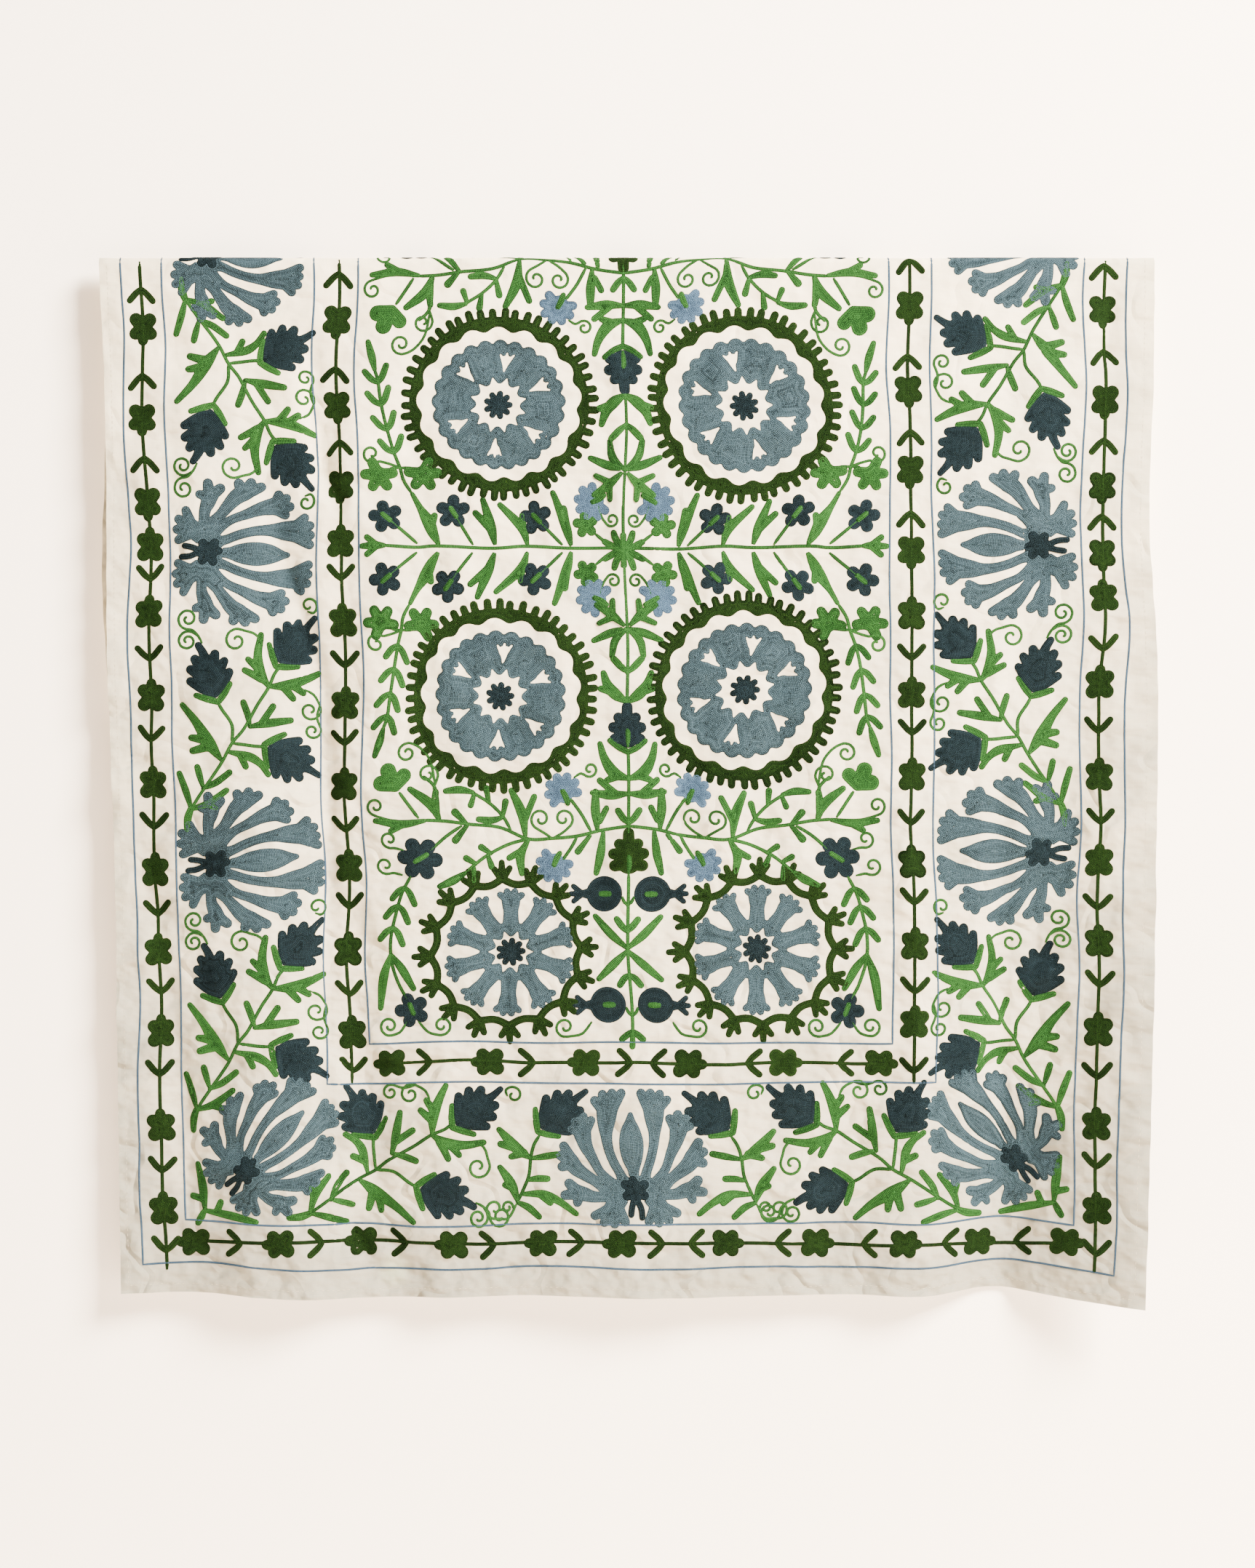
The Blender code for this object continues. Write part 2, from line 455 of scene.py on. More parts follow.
def axis_bud(thread, calyx):
    """A symmetrical lobed bud on the middle stem, with a round tip and a green stripe."""
    lobes = mirrored(((6, 16, 9), (20, 14, 9)), ((4, 30, 9), (22, 32, 8.5)), ((3, 42, 9), (14, 47, 8)))
    made = Motif().fill(thread, ((0, 18, 17), (0, 38, 15)), *lobes, ((0, 48, 9), (0, 63, 8.5)))
    made.line(GREEN, (0, 2), (0, 30), lift=1.0).line(GREEN, (1.8, 8), (1.6, 28), lift=1.0)
    if calyx:
        made.fill(GREEN, *mirrored(((0, -5, 4.6), (14, 1, 4.6), (28, 12, 4.6))), lift=0.5)
    return made


def palmette():
    """A fan of plumes with scalloped tips round a pointed leaf, on a navy heart with two prongs below."""
    heart = [
        ((0, 0, 15),),
        ((0, 6, 9), (-2, 20, 7)),
        ((-5, 5, 9), (-16, 12, 8)),
        ((5, 5, 9), (17, 11, 8)),
        *mirrored(((4, -3, 9), (15, -8, 8))),
        ((0, -8, 9), (2, -18, 6)),
        ((2, -16, 5), (8, -30, 5), (9, -45, 5)),
        ((-4, -16, 5), (-8, -28, 5), (-10, -40, 5)),
    ]
    half = (
        ((18, 14, 10), (22, 30, 7), (31, 51, 6.8), (38, 75, 7), (41, 99, 9), (41, 120, 14), (40, 138, 17)),
        ((44, 138, 10), (62, 154, 6.6)),
        ((43, 142, 10), (49, 164, 6.6)),
        ((38, 142, 10), (33, 166, 6.6)),
        ((34, 138, 10), (17, 166, 6.6)),
        ((28, 10, 10), (37, 14, 8), (55, 34, 6.5), (66, 58, 7.5), (77, 82, 10.5), (82, 102, 14)),
        ((84, 104, 9), (101, 108, 6.8)),
        ((83, 106, 9), (95, 121, 6.8)),
        ((80, 106, 9), (81, 128, 6.8)),
        ((78, 104, 9), (67, 122, 6.2)),
        ((30, 4, 12), (49, 5, 9), (64, 18, 8), (81, 30, 9.5), (96, 42, 12), (104, 54, 13)),
        ((104, 50, 9), (119, 44, 7)),
        ((106, 56, 9), (121, 63, 7)),
        ((104, 60, 9), (114, 79, 7)),
        ((30, -4, 13), (52, -8, 8), (71, -8, 8.5), (86, -3, 11), (97, 0, 12)),
        ((98, -2, 9), (117, -5, 7)),
        ((97, 2, 9), (109, 15, 7.4)),
        ((94, -4, 8), (98, -18, 6)),
        ((22, -4, 14), (34, -20, 14), (40, -28, 14)),
        ((46, -30, 9), (70, -40, 6.4)),
        ((44, -34, 10), (55, -52, 6.6)),
        ((36, -34, 10), (38, -55, 6.4)),
        ((30, -34, 9), (20, -52, 6.2)),
    )
    leaf = ((0, 20, 8), (1, 38, 10), (1, 58, 17), (1, 80, 20.5), (0, 100, 17), (0, 118, 9), (0, 131, 4.5))
    plumes = mirrored(*widened(half, 1.2))
    made = Motif().fill(SLATE, ((0, 12, 17),), leaf, *plumes, cuts=widened(heart, -1.5), cell=1.15)
    return made.fill(NAVY, *heart, lift=0.5)


def navy_centre(made):
    """The small navy flower in the middle of a medallion."""
    return made.fill(NAVY, ((0, 0, 14),), *around(9, 20, 5.2, 10, 360.0, 8, 5.6))


def sun_disc(rng):
    """The inside of a sawtooth medallion: a scalloped disc with a star and six tulips left open in it."""
    disc = [((0, 0, 107),)] + [((x, y, 13),) for (_a, (x, y, _r)) in around(25, 100.5, 1, 4)]
    holes = [((0, 0, 37.5),)] + around(12, 47, 1.6, 8, 360.0, 32, 8)
    for i in range(6):
        heading = 30 + 60 * i + rng.uniform(-5, 5)
        lean = rng.uniform(-2, 2)
        tulip = (
            ((0, 59, 1.6), (lean, 68, 4.2), (lean, 75, 6.4)),
            ((-3, 75, 4.0), (-11 + lean, 87, 1.8)),
            ((0, 76, 4.2), (lean, 91, 1.8)),
            ((3, 75, 4.0), (12 + lean, 89, 1.8)),
        )
        holes += turned(tulip, heading)
    return navy_centre(Motif().fill(SLATE, *disc, cuts=holes, cell=1.25))


def saw_ring(rng):
    """The dark ring of a sawtooth medallion: blunt teeth outside and a wavy edge inside."""
    band = []
    for a in np.linspace(0, 2 * math.pi, 137):
        half = 11.2 - 4.4 * abs(math.sin(8.5 * a)) + 1.2 * math.cos(2 * a + 0.4)
        band.append(((151 - half) * math.sin(a), (151 - half) * math.cos(a), half))
    teeth = []
    for i in range(51):
        a = 2 * math.pi * (i + rng.uniform(-0.12, 0.12)) / 51
        s, c = math.sin(a), math.cos(a)
        far = 161 + rng.uniform(-2, 2)
        teeth.append(((146 * s, 146 * c, 6.4), (far * s, far * c, 6.2)))
    return Motif().fill(DARK, tuple(band), *teeth, cell=1.25)


def thorn_ring():
    """The ring of a thorn medallion: shallow arcs between three-toed thorns."""
    strokes = []
    for i in range(16):
        arc = []
        for t in np.linspace(0, 1, 9):
            a = 2 * math.pi * (i + t) / 16
            r = 128 - 9 * math.sin(math.pi * t)
            arc.append((r * math.sin(a), r * math.cos(a), 6.2))
        strokes.append(tuple(arc))
        a = 2 * math.pi * i / 16
        s, c = math.sin(a), math.cos(a)
        for side, far in ((-14, 145), (0, 155), (14, 145)):
            strokes.append(((127 * s, 127 * c, 6.5), (far * s + side * c, far * c - side * s, 5.2)))
    return Motif().fill(DARK, *strokes, cell=1.15)


def plume_disc():
    """The inside of a thorn medallion: ten notched plumes with a star-shaped hole."""
    tip = mirrored(((0, 88, 8), (19, 100, 5.5)), ((0, 88, 8), (7, 106, 5.8)))
    plumes = [((0, 0, 52),)]
    for i in range(10):
        plumes += turned([((0, 40, 15), (0, 70, 12.5), (0, 88, 16)), *tip], 36 * i + 4)
    star = [((0, 0, 27),)] + around(10, 36, 1.6, 22, 360.0, 20, 8)
    return navy_centre(Motif().fill(SLATE, *plumes, cuts=star, cell=1.25))


def pomegranate():
    """A round navy fruit with a three-toed crown and a green seed, its stem coming in from below."""
    crown = [((0, 60, 4.6), (0, 78, 4.2)), *mirrored(((0, 60, 4.6), (12, 74, 4.2)))]
    made = Motif().fill(NAVY, ((0, 26, 28),), ((0, 48, 9), (0, 64, 5)), *crown)
    for x, low in ((0, 14), (1.9, 15), (-1.9, 15)):
        made.line(GREEN, (x, low), (x, 48 - low), lift=1.0)
    return made


def stems(made, *lines):
    """Stitches a green stem through each row of points."""
    for points in lines:
        made.line(GREEN, *points)


def tendrils(made, *curls):
    """Stitches a green tendril for each row: its path, the middle of its curl, its sense and its turns."""
    for curl in curls:
        made.curl(GREEN, *curl)


def strokes_of(leaf):
    """The strokes of a leaf that is written as one stroke or as several."""
    return leaf if isinstance(leaf[0][0], tuple) else (leaf,)


def leaves(made, *table):
    """Fills each leaf of a table."""
    for leaf in table:
        strokes = [tuple((x, y, max(r * 1.2, 3.4)) for x, y, r in stroke) for stroke in strokes_of(leaf)]
        made.fill(GREEN, *strokes)
    return made


def band_vine():
    """One length of the wide band's vine, from its spray at the foot to its three buds."""
    v = Motif()
    long_stem = ((-76, -128), (-66, -105), (-48, -77), (-18, -33), (0, 0), (19, 23), (42, 63), (62, 93))
    stems(
        v,
        (*long_stem, (71, 115), (80, 128)),
        ((0, 0), (-1, 30), (-18, 56), (-25, 69)),
        ((0, 0), (25, -3), (39, -5), (60, -6)),
    )
    v.add(bud("middle"), (-27, 75), -16)
    v.add(bud("side"), (78, 135), 39)
    v.add(bud("side"), (62, -5), 120)
    leaves(
        v,
        (
            ((62, 95, 2.2), (48, 118, 7.5), (44, 148, 6), (49, 182, 4.2)),
            ((50, 108, 6), (22, 122, 4.4)),
            ((46, 124, 6), (28, 140, 4.2)),
        ),
        (
            ((64, 95, 2.2), (95, 98, 7.5), (122, 108, 6), (146, 120, 4)),
            ((88, 95, 6), (104, 76, 4.6)),
            ((104, 98, 6), (121, 86, 4.4)),
        ),
        ((29, 31, 2.4), (25, 48, 4.8), (18, 68, 4.6)),
        (((29, 27, 2.4), (62, 33, 6), (100, 39, 4.4)), ((50, 33, 5), (70, 62, 4.6))),
        (
            ((-18, -27, 2.4), (-38, 0, 8.5), (-60, 35, 6), (-84, 64, 4)),
            ((-36, -4, 7), (-66, -13, 4.8)),
            ((-44, 6, 7), (-68, 9, 4.6)),
        ),
        (((-5, -14, 2.4), (30, -22, 6), (50, -34, 5), (63, -52, 4)), ((14, -18, 5), (24, -38, 4.6))),
        ((-50, -76, 2.4), (-28, -66, 4.8), (-4, -48, 4.4)),
        ((-50, -72, 2.4), (-55, -55, 4.6), (-59, -40, 4.4)),
        ((-71, -110, 2.4), (-78, -84, 5), (-89, -52, 4.2)),
        (((-70, -112, 2.4), (-40, -101, 5.5), (-9, -78, 4.2)), ((-45, -103, 5), (-27, -108, 4.4))),
        ((-71, -112, 4.5), (-76, -128, 5.5), (-77, -148, 4.2)),
    )
    tendrils(
        v,
        (((-50, 168), (-58, 183), (-68, 193)), (-74, 211), -1),
        (((-56, 180), (-66, 188)), (-75, 173), 1),
        (((49, 172), (38, 184), (22, 188)), (8, 172), 1, 1.3),
        (((122, 92), (138, 84), (147, 68)), (132, 57), -1, 1.3),
        (((147, 66), (143, 46), (147, 32)), (136, 22), -1, 1.3),
        (((128, 224), (138, 220)), (131, 234), 1, 1.1),
    )
    return v


def foot_vine():
    """The short vine beside the palmette in the middle of the lower band, from its bud's stem end."""
    v = Motif()
    v.add(bud("side"), (-2, 6), 50)
    v.line(GREEN, (-3, -4), (-14, -22), (-20, -45), (-22, -65), (-26, -82), (-42, -118))
    leaves(
        v,
        (
            ((-20, -45, 2.4), (-45, -28, 8), (-74, 3, 4.2)),
            ((-40, -30, 6), (-72, -22, 4.8)),
            ((-32, -36, 6), (-54, -43, 4.4)),
        ),
        ((-18, -45, 2.4), (4, -41, 4.8), (28, -36, 4.6)),
        ((-25, -82, 2.4), (-8, -79, 4.8), (8, -79, 4.6)),
        (((-42, -119, 2.4), (-54, -90, 7), (-74, -61, 4)), ((-52, -95, 6), (-65, -91, 4.4))),
        (((-34, -106, 2.4), (2, -106, 6), (30, -120, 5), (54, -139, 4)), ((-2, -108, 5), (12, -120, 4.6))),
        ((-43, -120, 2.4), (-24, -128, 5), (-6, -144, 4.2)),
    )
    tendrils(
        v,
        (((-44, -122), (-50, -131)), (-60, -128), 1, 1.2),
        (((-44, -122), (-58, -146), (-76, -146)), (-82, -130), -1, 1.2),
    )
    return v


def corner_sprig():
    """The little spray in each outer corner of the wide band."""
    return leaves(
        Motif(),
        (((0, 0, 3), (-3, 36, 6.5), (-11, 78, 4)), ((-4, 18, 5), (-21, 22, 4.4))),
        (((0, -2, 3), (42, -9, 6), (88, -20, 4)), ((20, -4, 5), (28, 14, 4.6))),
        ((0, 0, 3), (-6, -12, 5), (-13, -24, 4.4)),
    )


def hanging_pair(at, left, right):
    """Two leaves on a side vine, from one point on its stem."""
    x, y = at
    ends = (left, right)
    return [((x, y, 2.6), (x + dx * 0.5, y + dy * 0.35, 4.7), (x + dx, y + dy, 4.4)) for dx, dy in ends]


def field_quarter():
    """The lower left quarter of the middle field, from its centre, without the two middle lines."""
    q = Motif()
    for at, foot in (((-410, -50), (-357, -4)), ((-300, -59), (-262, -3)), ((-156, -48), (-109, -3))):
        way = math.degrees(math.atan2(at[0] - foot[0], at[1] - foot[1]))
        q.line(GREEN, foot, ((at[0] * 0.55 + foot[0] * 0.45), at[1] * 0.5 + foot[1] * 0.5 - 2), at)
        q.add(flower(NAVY, 5, 29), at, way)
    leaves(
        q,
        (
            ((-321, -4, 2.4), (-331, -22, 7), (-340, -42, 8.5), (-354, -66, 4.6), (-366, -90, 3)),
            ((-336, -30, 6), (-330, -52, 4.6)),
        ),
        (((-225, -4, 2.2), (-234, -34, 7), (-250, -78, 4)), ((-232, -28, 6), (-262, -56, 4.5))),
        (((-170, -4, 2.2), (-181, -32, 6.5), (-220, -69, 4)), ((-178, -28, 5), (-180, -52, 4.4))),
        (((-94, -3, 2.2), (-103, -34, 7), (-125, -90, 4)), ((-102, -32, 6), (-106, -64, 4.5))),
    )
    q.line(GREEN, (-26, -3), (-52, -24)).add(flower(GREEN, 5, 23, None), (-68, -38), 225)
    side_vine = ((-366, -90), (-379, -113), (-384, -135), (-393, -162), (-402, -202), (-408, -245))
    q.line(GREEN, *side_vine, (-411, -284), (-417, -304))
    q.line(GREEN, (-384, -135), (-400, -134)).line(GREEN, (-384, -135), (-364, -134))
    q.add(green_flower(), (-419, -123), -28, 1.15).add(green_flower(), (-347, -125), 28, 1.15)
    q.curl(GREEN, ((-384, -135), (-400, -141), (-418, -146)), (-430, -158), 1, 1.2)
    for place in ((-393, -160), (-402, -200), (-408, -242), (-411, -280)):
        leaves(q, hanging_pair(place, (-22, -20), (14, -30)))
    leaves(q, ((-416, -302, 2.2), (-421, -325, 5.5), (-428, -350, 3.8)))

    cross_vine = ((4, -468), (-43, -475), (-83, -485), (-125, -490), (-167, -492), (-217, -474), (-270, -468))
    stems(
        q,
        (*cross_vine, (-310, -462), (-345, -460)),
        ((-167, -492), (-203, -502), (-243, -522), (-278, -549)),
        ((-283, -470), (-310, -488), (-337, -512)),
        ((-60, -478), (-77, -448), (-97, -422)),
        ((-83, -485), (-93, -505), (-108, -528)),
        ((-198, -478), (-213, -455), (-237, -432), (-265, -414)),
        ((-353, -457), (-368, -435), (-384, -412)),
        ((-321, -455), (-322, -420), (-328, -400), (-345, -385)),
    )
    q.add(flower(NAVY, 6, 38), (-354, -526), 238)
    q.add(fan_flower(), (-106, -418), -25).add(fan_flower(), (-118, -528), 205)
    q.add(trefoil(), (-392, -400), -35, 1.15)
    tendrils(
        q,
        (((-125, -490), (-140, -481), (-157, -472)), (-146, -458), -1, 1.2),
        (((-125, -490), (-108, -480), (-95, -468)), (-107, -456), 1, 1.2),
        (((-92, -388), (-80, -380), (-73, -384)), (-65, -374), 1, 1.2),
        (((-328, -408), (-322, -392)), (-337, -382), 1, 1.3),
        (((-325, -398), (-333, -360), (-350, -338), (-366, -329)), (-373, -345), 1, 1.3),
        (((-380, -462), (-402, -460), (-428, -452)), (-424, -437), -1, 1.2),
        (((-380, -512), (-396, -508)), (-403, -494), -1, 1.2),
        (((-384, -556), (-402, -552)), (-413, -540), -1, 1.2),
    )
    leaves(
        q,
        (((-343, -461, 2.4), (-382, -467, 6), (-425, -462, 4)), ((-376, -466, 5), (-399, -479, 4.4))),
        ((-320, -460, 2.4), (-334, -432, 7), (-366, -407, 4.2)),
        ((-320, -458, 2.6), (-326, -434, 4.8), (-324, -412, 4.4)),
        (((-274, -469, 2.6), (-294, -447, 5.4)), ((-274, -469, 2.6), (-294, -494, 5.4))),
        ((-213, -456, 2.4), (-208, -430, 4.8)),
        ((-213, -457, 2.4), (-232, -462, 5), (-255, -460, 4.2)),
        ((-237, -432, 2.4), (-241, -407, 4.8)),
        (((-263, -414, 2.4), (-285, -409, 5.5), (-308, -411, 4)), ((-262, -418, 3), (-268, -436, 4.4))),
        (((-172, -488, 2.6), (-179, -450, 7), (-198, -411, 4.2)), ((-176, -466, 5), (-158, -421, 4.4))),
        (((-167, -494, 2.4), (-180, -520, 6.5), (-177, -550, 4.2)), ((-178, -512, 5), (-200, -524, 4.4))),
        ((-232, -517, 2.6), (-250, -506, 4.8)),
        ((-238, -520, 2.6), (-231, -538, 4.8)),
        ((-258, -534, 2.6), (-276, -524, 4.6)),
        (((-276, -548, 2.4), (-298, -562, 6), (-322, -573, 4)), ((-262, -540, 3), (-262, -562, 4.6))),
        (((-50, -474, 2.6), (-54, -442, 6.5), (-55, -410, 4.4)), ((-46, -460, 4), (-36, -438, 4.4))),
        ((-40, -478, 2.4), (-44, -515, 6), (-51, -550, 4)),
        ((-62, -484, 2.6), (-82, -512, 4.8)),
    )
    low_vine = ((-370, -556), (-386, -588), (-396, -628), (-401, -662), (-399, -701), (-387, -740))
    q.line(GREEN, *low_vine, (-374, -766))
    for place in ((-381, -577), (-391, -608), (-398, -645)):
        leaves(q, hanging_pair(place, (-21, -20), (17, -28)))
    leaves(
        q,
        ((-400, -690, 2.6), (-413, -730, 6.5), (-421, -782, 4)),
        ((-400, -690, 2.6), (-380, -716, 6), (-362, -748, 4.2)),
    )
    q.add(flower(NAVY, 5, 31), (-366, -786), 160)
    tendrils(
        q,
        (((-376, -806), (-388, -824), (-406, -830)), (-407, -813), -1, 1.3),
        (((-356, -806), (-338, -826), (-318, -832)), (-314, -815), 1, 1.3),
        (((-62, -808), (-78, -828), (-100, -832)), (-107, -816), -1, 1.3),
    )
    return q


def middle_line():
    """What lies on the lower half of the middle line, from the centre of the field."""
    m = Motif()
    stems(
        m,
        ((0, 0), (0, -70), (0, -140), (0, -216), (0, -268)),
        ((0, -345), (0, -396), (0, -420), (0, -468), (0, -492)),
        ((0, -555), (1, -640), (0, -720), (0, -830)),
    )
    m.add(axis_bud(NAVY, True), (0, -345), 0, 1.12).add(axis_bud(DARK, False), (0, -558), 0, 1.14)
    half = (
        ((0, -140, 2.2), (-28, -147, 6), (-58, -160, 4)),
        ((-2, -141, 2.2), (-21, -160, 5.6), (-27, -187, 4.2)),
        ((0, -216, 2.8), (-12, -205, 5), (-24, -192, 4.8)),
        (
            ((0, -266, 3), (-20, -253, 8), (-34, -236, 6.5), (-41, -216, 4.2)),
            ((-22, -250, 6), (-45, -243, 4.6)),
        ),
        (((0, -396, 3), (-26, -385, 8), (-42, -362, 6), (-49, -337, 4)), ((-18, -390, 6), (-38, -398, 4.4))),
        (((0, -420, 2.2), (-30, -422, 6.5), (-62, -418, 4)), ((-22, -420, 5), (-50, -398, 4.6))),
        ((0, -470, 2.6), (-9, -461, 4.8), (-18, -448, 4.6)),
        ((0, -655, 2.6), (-8, -647, 4.8), (-18, -634, 4.6)),
        ((0, -684, 2.2), (-28, -660, 6), (-56, -630, 4)),
        ((0, -688, 2.2), (-26, -712, 6), (-54, -738, 4)),
        ((0, -730, 2.8), (-9, -736, 4.8), (-18, -748, 4.6)),
        ((0, -826, 2.6), (-8, -832, 4.6), (-18, -840, 4.4)),
        ((-3, -6, 2.4), (-12, -22, 5), (-16, -34, 4.4)),
        ((-5, -4, 2.4), (-20, -12, 5), (-32, -19, 4.4)),
    )
    for leaf in half:
        leaves(m, sided(strokes_of(leaf), 1), sided(strokes_of(leaf), -1))
    leaves(m, ((0, -826, 3), (0, -852, 4.4)), ((0, 0, 3), (0, -30, 4.4)))
    over = (
        ((-3, -136, 2.6), (-24, -116, 7.5), (-50, -98, 5)),
        ((-22, -118, 6), (-48, -130, 4.6)),
        ((-24, -114, 6), (-22, -90, 4.6)),
    )
    for side in (1, -1):
        m.add(fan_flower(), (-46 * side, -90), -60 * side, 1.05)
        m.fill(GREEN, *sided(over, side), lift=1.3)
        path = ((-44 * side, -80), (-38 * side, -62), (-28 * side, -48))
        m.curl(GREEN, path, (-19 * side, -56), -side, 1.2)
        for y in (-591, -782):
            m.line(GREEN, (0, y - 20), (-7 * side, y - 12), (-10 * side, y - 4))
            m.add(pomegranate(), (-12 * side, y), -90 * side, 1.1)
    return m


def side_line():
    """The left half of the cross vine's own stem and its end leaf."""
    s = Motif().line(GREEN, (0, 0), (-94, -2), (-170, 1), (-225, -2), (-320, 1), (-357, -2), (-415, 0))
    tip = ((-410, 0, 3), (-425, 0, 5.6), (-449, -1, 4))
    return leaves(s, (tip, ((-424, 2, 4), (-440, 14, 4.4)), ((-424, -2, 4), (-440, -15, 4.4))))


# Where the motifs go, in millimetres as the cloth hangs: place across, drop below the fold

# name, place at the fold and at the foot, drops of rosettes above and below the turn, of leaf pairs, foot
BORDER_COLUMNS = (
    ("outer left", -829, -787, (115, 272, 414), (485, 598, 745, 894, 1040, 1178, 1321, 1482, 1624),
     (58, 208, 350), (531, 669, 809, 957, 1104, 1242, 1382, 1548, 1684), 1727),
    ("outer right", 815, 795, (86, 240, 385, 501), (575, 722, 876, 1025, 1166, 1315, 1475, 1622),
     (19, 166, 316, 446), (655, 792, 946, 1096, 1229, 1383, 1536, 1688), 1730),
    ("inner left", -497, -463, (103, 248, 385), (482, 616, 754, 895, 1038, 1179, 1320),
     (35, 193, 320), (533, 679, 812, 963, 1096, 1243, 1374), 1408),
    ("inner right", 480, 491, (78, 221, 360, 497), (602, 738, 880, 1028, 1168, 1302),
     (9, 171, 303, 443), (666, 797, 950, 1086, 1237, 1376), 1408),
)
# name, drop, rosettes left and right of the turn, leaf pairs left and right of it
BORDER_ROWS = (
    ("inner", 1372, (-405, -234, -73), (105, 266, 432), (-345, -171, -6), (52, 215, 373)),
    ("outer", 1680, (-740, -593, -452, -299, -144, -14), (167, 322, 474, 602, 746),
     (-671, -531, -388, -238, -88, 46), (115, 265, 413, 553, 677)),
)
# place across, drop, heading of the tip, breadth and length
PALMETTES = (
    (-716, -10, 90, 1.0, 1.0),
    (-712, 497, 90, 1.0, 1.03),
    (-701, 1027, 84, 0.98, 1.03),
    (-645, 1553, 41, 0.86, 1.03),
    (11, 1590, 0, 1.0, 1.0),
    (705, 485, 270, 1.0, 1.03),
    (706, 1009, 272, 0.98, 1.0),
    (661, 1541, 316, 0.86, 1.02),
    (712, -45, 270, 1.0, 1.0),
)
# place across, drop, and how the chart's right and up lie on the cloth
BAND_VINES = (
    (-681, 178, ((1, 0), (0, -1))),
    (-673, 823, ((1, 0), (0, 1))),
    (-662, 1339, ((1, 0), (0, 1))),
    (675, 152, ((-1, 0), (0, -1))),
    (666, 813, ((-1, 0), (0, 1))),
    (666, 1336, ((-1, 0), (0, 1))),
    (-427, 1559, ((0, 1), (1, 0))),
    (452, 1554, ((0, -1), (1, 0))),
)
FOOT_VINES = ((-144, 1490, 1), (175, 1492, -1))
CORNER_SPRIGS = ((-720, 1622, 1), (726, 1610, -1))
SUN_MEDALLIONS = ((-217, 246), (199, 247), (-217, 743), (199, 733))
THORN_MEDALLIONS = ((-200, 1181), (222, 1178))
# half width and reach from the pattern's centre of the four ruled frames
RULED_FRAMES = ((0.859, 1.230), (0.787, 1.156), (0.527, 0.914), (0.454, 0.845))

# Creases placed one by one. Places across and along the flat cloth, half width, depth: negative falls back
CREASES = (
    (((-0.531, 0.116), (-0.525, 0.327), (-0.469, 0.477)), 0.014, -0.0040),
    (
        ((-0.63, 0.315), (-0.593, 0.501), (-0.55, 0.651), (-0.519, 0.825), (-0.525, 1.409), (-0.512, 1.571)),
        0.017,
        -0.0050,
    ),
    (((-0.520, 1.500), (-0.512, 1.571), (-0.475, 1.695), (-0.419, 1.757)), 0.016, -0.0055),
    (((-0.015, 0.079), (-0.010, 0.400), (-0.006, 0.800)), 0.012, 0.0025),
    (((0.837, 0.054), (0.826, 0.120), (0.818, 0.203)), 0.013, -0.0030),
    (((0.880, 0.364), (0.893, 0.452)), 0.012, 0.0030),
    (((0.640, 0.760), (0.652, 1.100), (0.648, 1.420), (0.655, 1.740)), 0.024, -0.0045),
    (((0.470, 0.900), (0.492, 1.250), (0.500, 1.700)), 0.020, 0.0030),
    (((-0.860, 0.900), (-0.800, 1.300), (-0.770, 1.770)), 0.020, -0.0030),
)


# The sheet as it hangs


def hung_across(u, v):
    """Where a place across the flat cloth hangs. v runs down the front, and is negative behind."""
    places = np.array(HANG_PLACES)
    share = np.maximum(v, 0) / PATTERN_FOOT
    x = np.interp(u, places[:, 0], places[:, 1])
    x = x + (np.interp(u, places[:, 0], places[:, 2]) - x) * share
    for column, end in ((1, places[0]), (2, places[-1])):
        edge = np.where(v > 0, along_table(FRONT_EDGES, v, column), along_table(BACK_EDGES, -v, column))
        x = x + (edge - end[1] - (end[2] - end[1]) * share) * np.exp(-np.abs(u - end[0]) / EDGE_FADE)
    return x


def hung_back(points):
    """Places on the flat cloth, in metres, of points charted as it hangs, in millimetres from the fold."""
    x, drop = points[:, 0] * MM, -points[:, 1] * MM
    u, v = x.copy(), drop + BEND_LENGTH - BEND_RADIUS
    for _ in range(8):
        u += x - hung_across(u, v)
    v += along_table(HEM_RISE, u, 1) * ease(RISE_FROM, RISE_BY, v) + 0.005 * (1 - ease(0.9, 1.5, v))
    return np.column_stack([u, v])


def fold_depth(folds, across, drop):
    """How far the long folds lift the cloth out."""
    total = np.zeros(np.shape(across))
    for _name, head_u, head_v, foot_u, foot_v, half_width, head_depth, foot_depth in folds:
        share = np.clip((drop - head_v) / (foot_v - head_v), 0, 1)
        centre = head_u + (foot_u - head_u) * share
        depth = head_depth + (foot_depth - head_depth) * share**1.4
        fade_in = ease(head_v - 0.25, head_v + 0.15, drop)
        total += depth * fade_in * np.exp(-(((across - centre) / half_width) ** 2))
    return total * ease(FREE_FROM, FREE_BY, drop)


def crease(u, v, points, half_width, depth):
    """A soft trough or ridge along a line, dying out at both ends."""
    line = smooth_curve(points, 0.05)
    run = run_of(line)
    nearest, at = np.full(np.shape(u), 9.0), np.zeros(np.shape(u))
    for (ax, ay), (bx, by), start, end in zip(line[:-1], line[1:], run[:-1], run[1:]):
        t = np.clip(((u - ax) * (bx - ax) + (v - ay) * (by - ay)) / (end - start) ** 2, 0, 1)
        far = np.hypot(u - ax - t * (bx - ax), v - ay - t * (by - ay))
        closer = far < nearest
        nearest = np.where(closer, far, nearest)
        at = np.where(closer, (start + t * (end - start)) / run[-1], at)
    fade = ease(0, 0.25, at) * ease(0, 0.25, 1 - at)
    return depth * fade * np.exp(-((nearest / half_width) ** 2))


